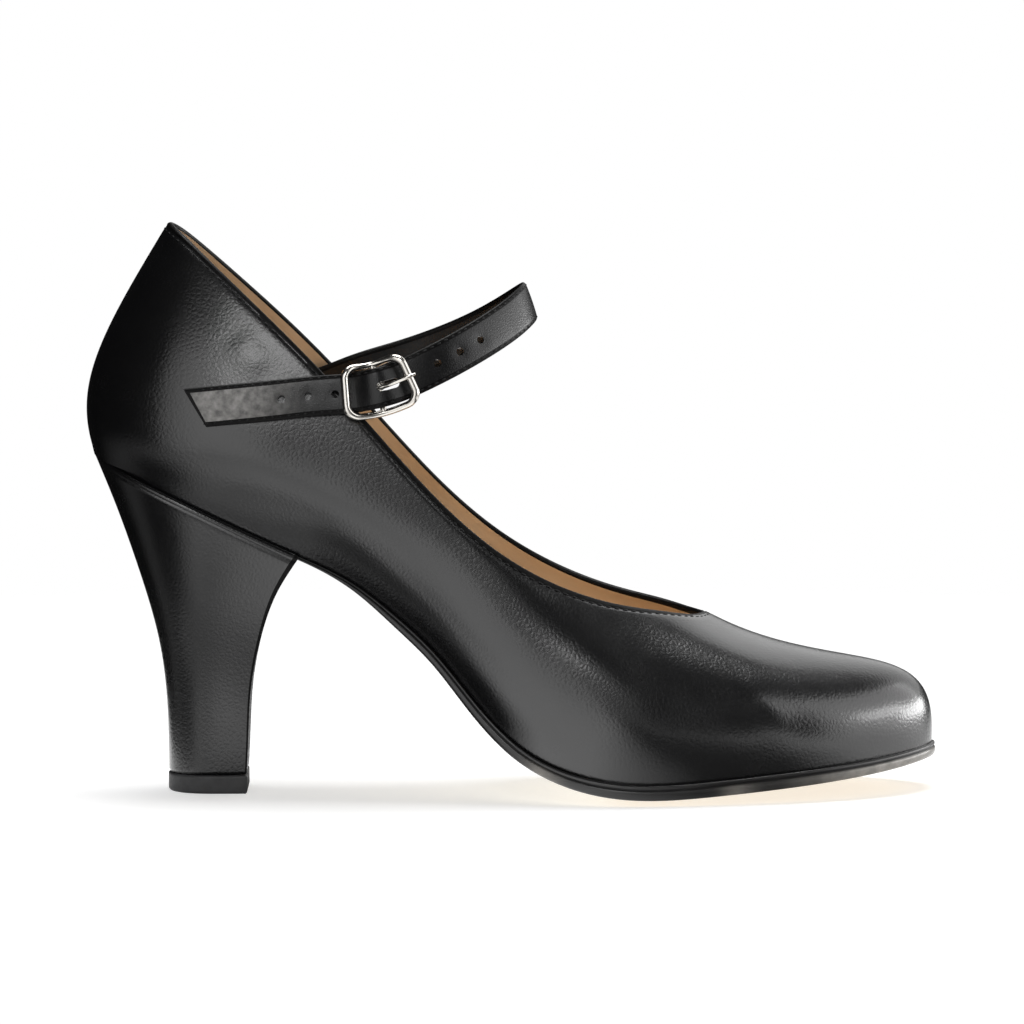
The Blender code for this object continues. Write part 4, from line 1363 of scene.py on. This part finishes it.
def tab_path():
    """The tab's middle line: inside the collar, out round the middle bar and back."""
    loop = BUCKLE_WIRE + GAP + TAB_THICK / 2
    turns = np.radians(np.linspace(-90, 90, TAB_TURN_STEPS))
    path = [(along, TAB_INSIDE) for along in TAB_SEWN]
    path += TAB_OUT_OF_COLLAR
    path += [(loop * math.cos(turn), MIDDLE_BAR + loop * math.sin(turn)) for turn in turns]
    path += TAB_BACK
    return Curve(np.arange(len(path)), path)


def tab_shape(around, along):
    path = tab_path()
    mark = along * path.marks[-1]
    middle = path.at(mark)
    way = path.way(mark)
    turn = 2 * math.pi * around
    across = squarer(np.cos(turn), TAB_ROUND) * TAB_WIDTH / 2
    thick = squarer(np.sin(turn), TAB_EDGE_ROUND) * TAB_THICK / 2
    return by_strap(middle[:, 0] - way[:, 1] * thick, across, middle[:, 1] + way[:, 0] * thick)


def make_buckle_tab(leather):
    grid = TAB_AROUND, TAB_STEPS
    piece = add_tube(
        "buckle_tab_leather", grid, tab_shape, [leather], "buckle_tab", sharp=60
    )
    cut_out(piece, [hole_peg(0.0, NOTCH_LENGTH, PRONG_WIRE + BED, MIDDLE_BAR)])
    return piece


# Stage, light and camera


# Painted shade that only mirrors see: dark spots on the floor, and dark glowing flags that stand in planes of
# equal x, so that the leather has dark reflections there. Both have soft edges. Middle and reach are in
# metres, and solid is the share of the reach before the edge fades.
Spot = namedtuple("Spot", "name tone middle reach solid")
MIRRORED_FLOOR_SHADE = (
    Spot("by_toe", "#585858", (0.071, -0.16, 0.0), (0.06, 0.32, 1.0), 0.45),
    Spot("by_heel", "#202020", (-0.195, -0.07, 0.0), (0.1, 0.1, 1.0), 0.4),
    Spot("below_seat", "#b0b0b0", (-0.1, -0.1, 0.0), (0.028, 0.04, 1.0), 0.2),
    Spot("beside_seat", "#a0a0a0", (-0.098, -0.055, 0.0), (0.056, 0.027, 1.0), 0.35),
    Spot("under_waist", "#202020", (-0.05, -0.01, 0.0), (0.052, 0.048, 1.0), 0.6),
)
MIRRORED_SHADE_FLAGS = (
    Spot("flag_behind_heel", "#101010", (-0.15, 0.17, 0.17), (1.0, 0.33, 1.0), 0.45),
    Spot("flag_by_breast", "#606060", (-0.057, -0.038, 0.03), (1.0, 0.016, 0.03), 0.4),
)
FLAG_LARGEST = 0.33  # a flag's plane goes no further than this from its middle
FLOOR_PALE = 0.12  # metres from the middle where the floor starts to fade into white, and where it is gone
FLOOR_GONE = 0.5
FLOOR_SIDES = 96
FLOOR_GLOW = 0.52  # the floor's own light, which keeps it pale round the shoe
FLOOR_IN_MIRROR = 1.5  # painted reflection: the floor's brightness where the leather mirrors it
ROOM_LIGHT = 0.04

# Soft lamps: turn is degrees from the camera's side towards the toe, rise degrees above the floor, away the
# distance, wide and high the panel in metres, glow its brightness, and casts whether it lights matt surfaces.
Lamp = namedtuple("Lamp", "name turn rise away wide high glow casts")
LAMPS = (
    Lamp("front_left_softbox", -24.5, 8.0, 2.0, 1.55, 1.8, 1.3, True),
    Lamp("front_fill", 9.0, 14.0, 2.0, 0.95, 1.3, 0.34, True),
    Lamp("front_spot_panel", -3.5, 30.0, 2.0, 0.62, 0.5, 4.3, True),
    Lamp("toe_panel", 87.0, 16.0, 1.6, 2.1, 1.6, 1.7, False),
    Lamp("toe_strip", 82.0, 11.5, 1.5, 0.66, 0.26, 5.0, False),
    Lamp("toe_glint", 110.0, 4.5, 1.5, 0.92, 0.28, 8.5, False),
    Lamp("back_panel", 145.0, 29.0, 2.2, 2.4, 1.4, 1.05, True),
    Lamp("top_panel", 180.0, 82.0, 1.9, 1.4, 1.0, 9.8, True),
)
LOOK_AT = Vector((0.0, 0.0, 0.0715))
CAMERA_AWAY = 2.2
CAMERA_RISE = 5.5
FRAME_WIDTH = 0.262  # what the picture takes in at the shoe
SENSOR = 36.0


def spot_share(tree, place, spot):
    """1 in the middle of a spot, falling to 0 at its reach."""
    from_middle = add_node(
        tree, "ShaderNodeMapping", {"vector_type": "TEXTURE"},
        {"Vector": place, "Location": spot.middle, "Scale": spot.reach},
    ).outputs["Vector"]
    away = add_node(tree, "ShaderNodeVectorMath", {"operation": "LENGTH"}, {0: from_middle}).outputs["Value"]
    return rescale(tree, away, spot.solid, 1.0, to_first=1.0, to_last=0.0)


def show_shader(tree, share, first, second):
    """Shows a mix of two shaders."""
    mixed = add_node(tree, "ShaderNodeMixShader", None, {0: share, 1: first, 2: second}).outputs[0]
    tree.links.new(mixed, tree.nodes["Material Output"].inputs["Surface"])
    return mixed


def add_stage(name, built, material):
    piece = put_mesh_in_scene(name, built)
    piece.data.materials.append(material)
    return piece


def make_floor():
    """A pale matt floor that fades into the white studio, and that a camera under it sees through; in the
    leather's reflections it shows a painted brightness with spots of painted shade.
    """
    values = {"Base Color": colour("#d0d0d0"), "Roughness": 0.8, "Specular IOR Level": 0.1,
              "Emission Color": colour("#ffffff"), "Emission Strength": FLOOR_GLOW}
    material, tree, shader, place = new_finish("white_studio_floor", values)
    # painted reflection: the floor as the leather mirrors it, brighter than it shows itself, with spots of
    # painted shade
    tone = (FLOOR_IN_MIRROR, FLOOR_IN_MIRROR, FLOOR_IN_MIRROR, 1.0)
    for spot in MIRRORED_FLOOR_SHADE:
        tone = mix_tones(tree, spot_share(tree, place, spot), tone, colour(spot.tone))
    mirrored = add_node(tree, "ShaderNodeEmission", None, {"Color": tone}).outputs[0]
    in_mirror = add_node(tree, "ShaderNodeLightPath").outputs["Is Glossy Ray"]
    solid = show_shader(tree, in_mirror, shader.outputs[0], mirrored)
    away = add_node(tree, "ShaderNodeVectorMath", {"operation": "LENGTH"}, {0: place}).outputs["Value"]
    fade = rescale(tree, away, FLOOR_PALE, FLOOR_GONE)
    below = add_node(tree, "ShaderNodeNewGeometry").outputs["Backfacing"]
    gone = add_node(tree, "ShaderNodeMath", {"operation": "MAXIMUM"}, {0: fade, 1: below}).outputs[0]
    show_shader(tree, gone, solid, add_node(tree, "ShaderNodeBsdfTransparent").outputs[0])
    built = bmesh.new()
    bmesh.ops.create_circle(built, cap_ends=True, segments=FLOOR_SIDES, radius=FLOOR_GONE)
    add_stage("studio_floor", built, material)


def make_flags():
    """Dark glowing flags beside the heel, seen only in reflections: painted shade for the leather to mirror.
    """
    for flag in MIRRORED_SHADE_FLAGS:
        values = {"Base Color": colour("#000000"), "Specular IOR Level": 0.0,
                  "Emission Color": colour(flag.tone), "Emission Strength": 1.0}
        material, tree, shader, place = new_finish(flag.name, values)
        clear = add_node(tree, "ShaderNodeBsdfTransparent").outputs[0]
        show_shader(tree, spot_share(tree, place, flag), clear, shader.outputs[0])
        built = bmesh.new()
        size = Matrix.Diagonal([min(reach, FLAG_LARGEST) for reach in flag.reach]).to_4x4()
        upright = Matrix.Translation(flag.middle) @ size @ Matrix.Rotation(math.radians(90), 4, "Y")
        bmesh.ops.create_grid(built, x_segments=1, y_segments=1, size=1.0, matrix=upright)
        piece = add_stage(flag.name, built, material)
        piece.visible_camera = False
        piece.visible_diffuse = False
        piece.visible_shadow = False


def make_world():
    """White behind the shoe, and a dimmer grey room for the leather to mirror."""
    world = bpy.data.worlds.new("white_studio")
    world.use_nodes = True
    tree = world.node_tree
    tree.nodes.clear()
    seen = add_node(tree, "ShaderNodeLightPath").outputs["Is Camera Ray"]
    white = colour("#ffffff")
    room = add_node(tree, "ShaderNodeBackground", None, {"Color": white, "Strength": ROOM_LIGHT}).outputs[0]
    behind = add_node(tree, "ShaderNodeBackground", None, {"Color": white, "Strength": 1.0}).outputs[0]
    mixed = add_node(tree, "ShaderNodeMixShader", None, {0: seen, 1: room, 2: behind}).outputs[0]
    output = add_node(tree, "ShaderNodeOutputWorld")
    tree.links.new(mixed, output.inputs["Surface"])
    bpy.context.scene.world = world


def aim(holder, turn, rise, away):
    """Puts a lamp or the camera round the shoe, by degrees and distance, and turns it towards the shoe."""
    turn, rise = math.radians(turn), math.radians(rise)
    way = Vector((math.sin(turn) * math.cos(rise), -math.cos(turn) * math.cos(rise), math.sin(rise)))
    holder.location = LOOK_AT + way * away
    holder.rotation_euler = (LOOK_AT - holder.location).to_track_quat("-Z", "Y").to_euler()


def make_lamps():
    for lamp in LAMPS:
        light = bpy.data.lights.new(lamp.name, "AREA")
        light.shape = "RECTANGLE"
        light.size = lamp.wide
        light.size_y = lamp.high
        light.energy = lamp.glow * math.pi * lamp.wide * lamp.high
        holder = put_in_scene(lamp.name, light)
        holder.visible_camera = False
        holder.visible_diffuse = lamp.casts
        aim(holder, lamp.turn, lamp.rise, lamp.away)


def make_camera():
    camera = bpy.data.cameras.new("camera")
    camera.sensor_width = SENSOR
    camera.lens = SENSOR * CAMERA_AWAY / FRAME_WIDTH
    holder = put_in_scene("camera", camera)
    aim(holder, 0.0, CAMERA_RISE, CAMERA_AWAY)
    bpy.context.scene.camera = holder


def make_shoe():
    # Real calf has a grain of about 0.5 mm, which the picture can't show, so it is drawn coarser
    calf = black_leather(
        "black_calf_leather", *CALF_TONES, rough=0.26, grain=1.25, grain_height=0.054, coat=0.3, gloss=0.75
    )
    cover = black_leather(
        "black_heel_cover", *CALF_TONES, rough=0.26, grain=1.15, grain_height=0.05, coat=0.25, gloss=0.75
    )
    strap_calf = strap_leather_with_painted_sheen()
    lining = plain_leather(
        "beige_lining_pigskin", "#d2b592", "#e2caab", rough=0.62, grain=1.1, grain_height=0.06
    )
    sock = plain_leather(
        "beige_sock_leather", "#cdae8a", "#dcc2a0", rough=0.58, grain=0.9, grain_height=0.05
    )
    thread = bonded_thread()
    nickel = polished_nickel()
    # Real edge ink, whose dark matt finish also paints the shade along the collar's fold, round the strap's
    # edges and on the heel's breast
    dressing_and_shade = edge_ink("black_edge_dressing", "#050505", "#0a0909", wax=0.0)
    make_upper(calf, lining, dressing_and_shade)
    make_edge_stitches(thread)
    make_outsole(sole_ink_wear_and_highlight(), ribbed_sole_leather())
    make_sock(sock)
    make_heel(cover, dressing_and_shade)
    make_lift(lift_rubber())
    make_strap(strap_calf, dressing_and_shade)
    make_strap_stitches(thread)
    make_buckle_frame(nickel)
    make_buckle_prong(nickel)
    make_buckle_tab(strap_calf)


make_shoe()
make_floor()
make_flags()
make_world()
make_lamps()
make_camera()
bpy.context.scene.view_settings.view_transform = "Standard"
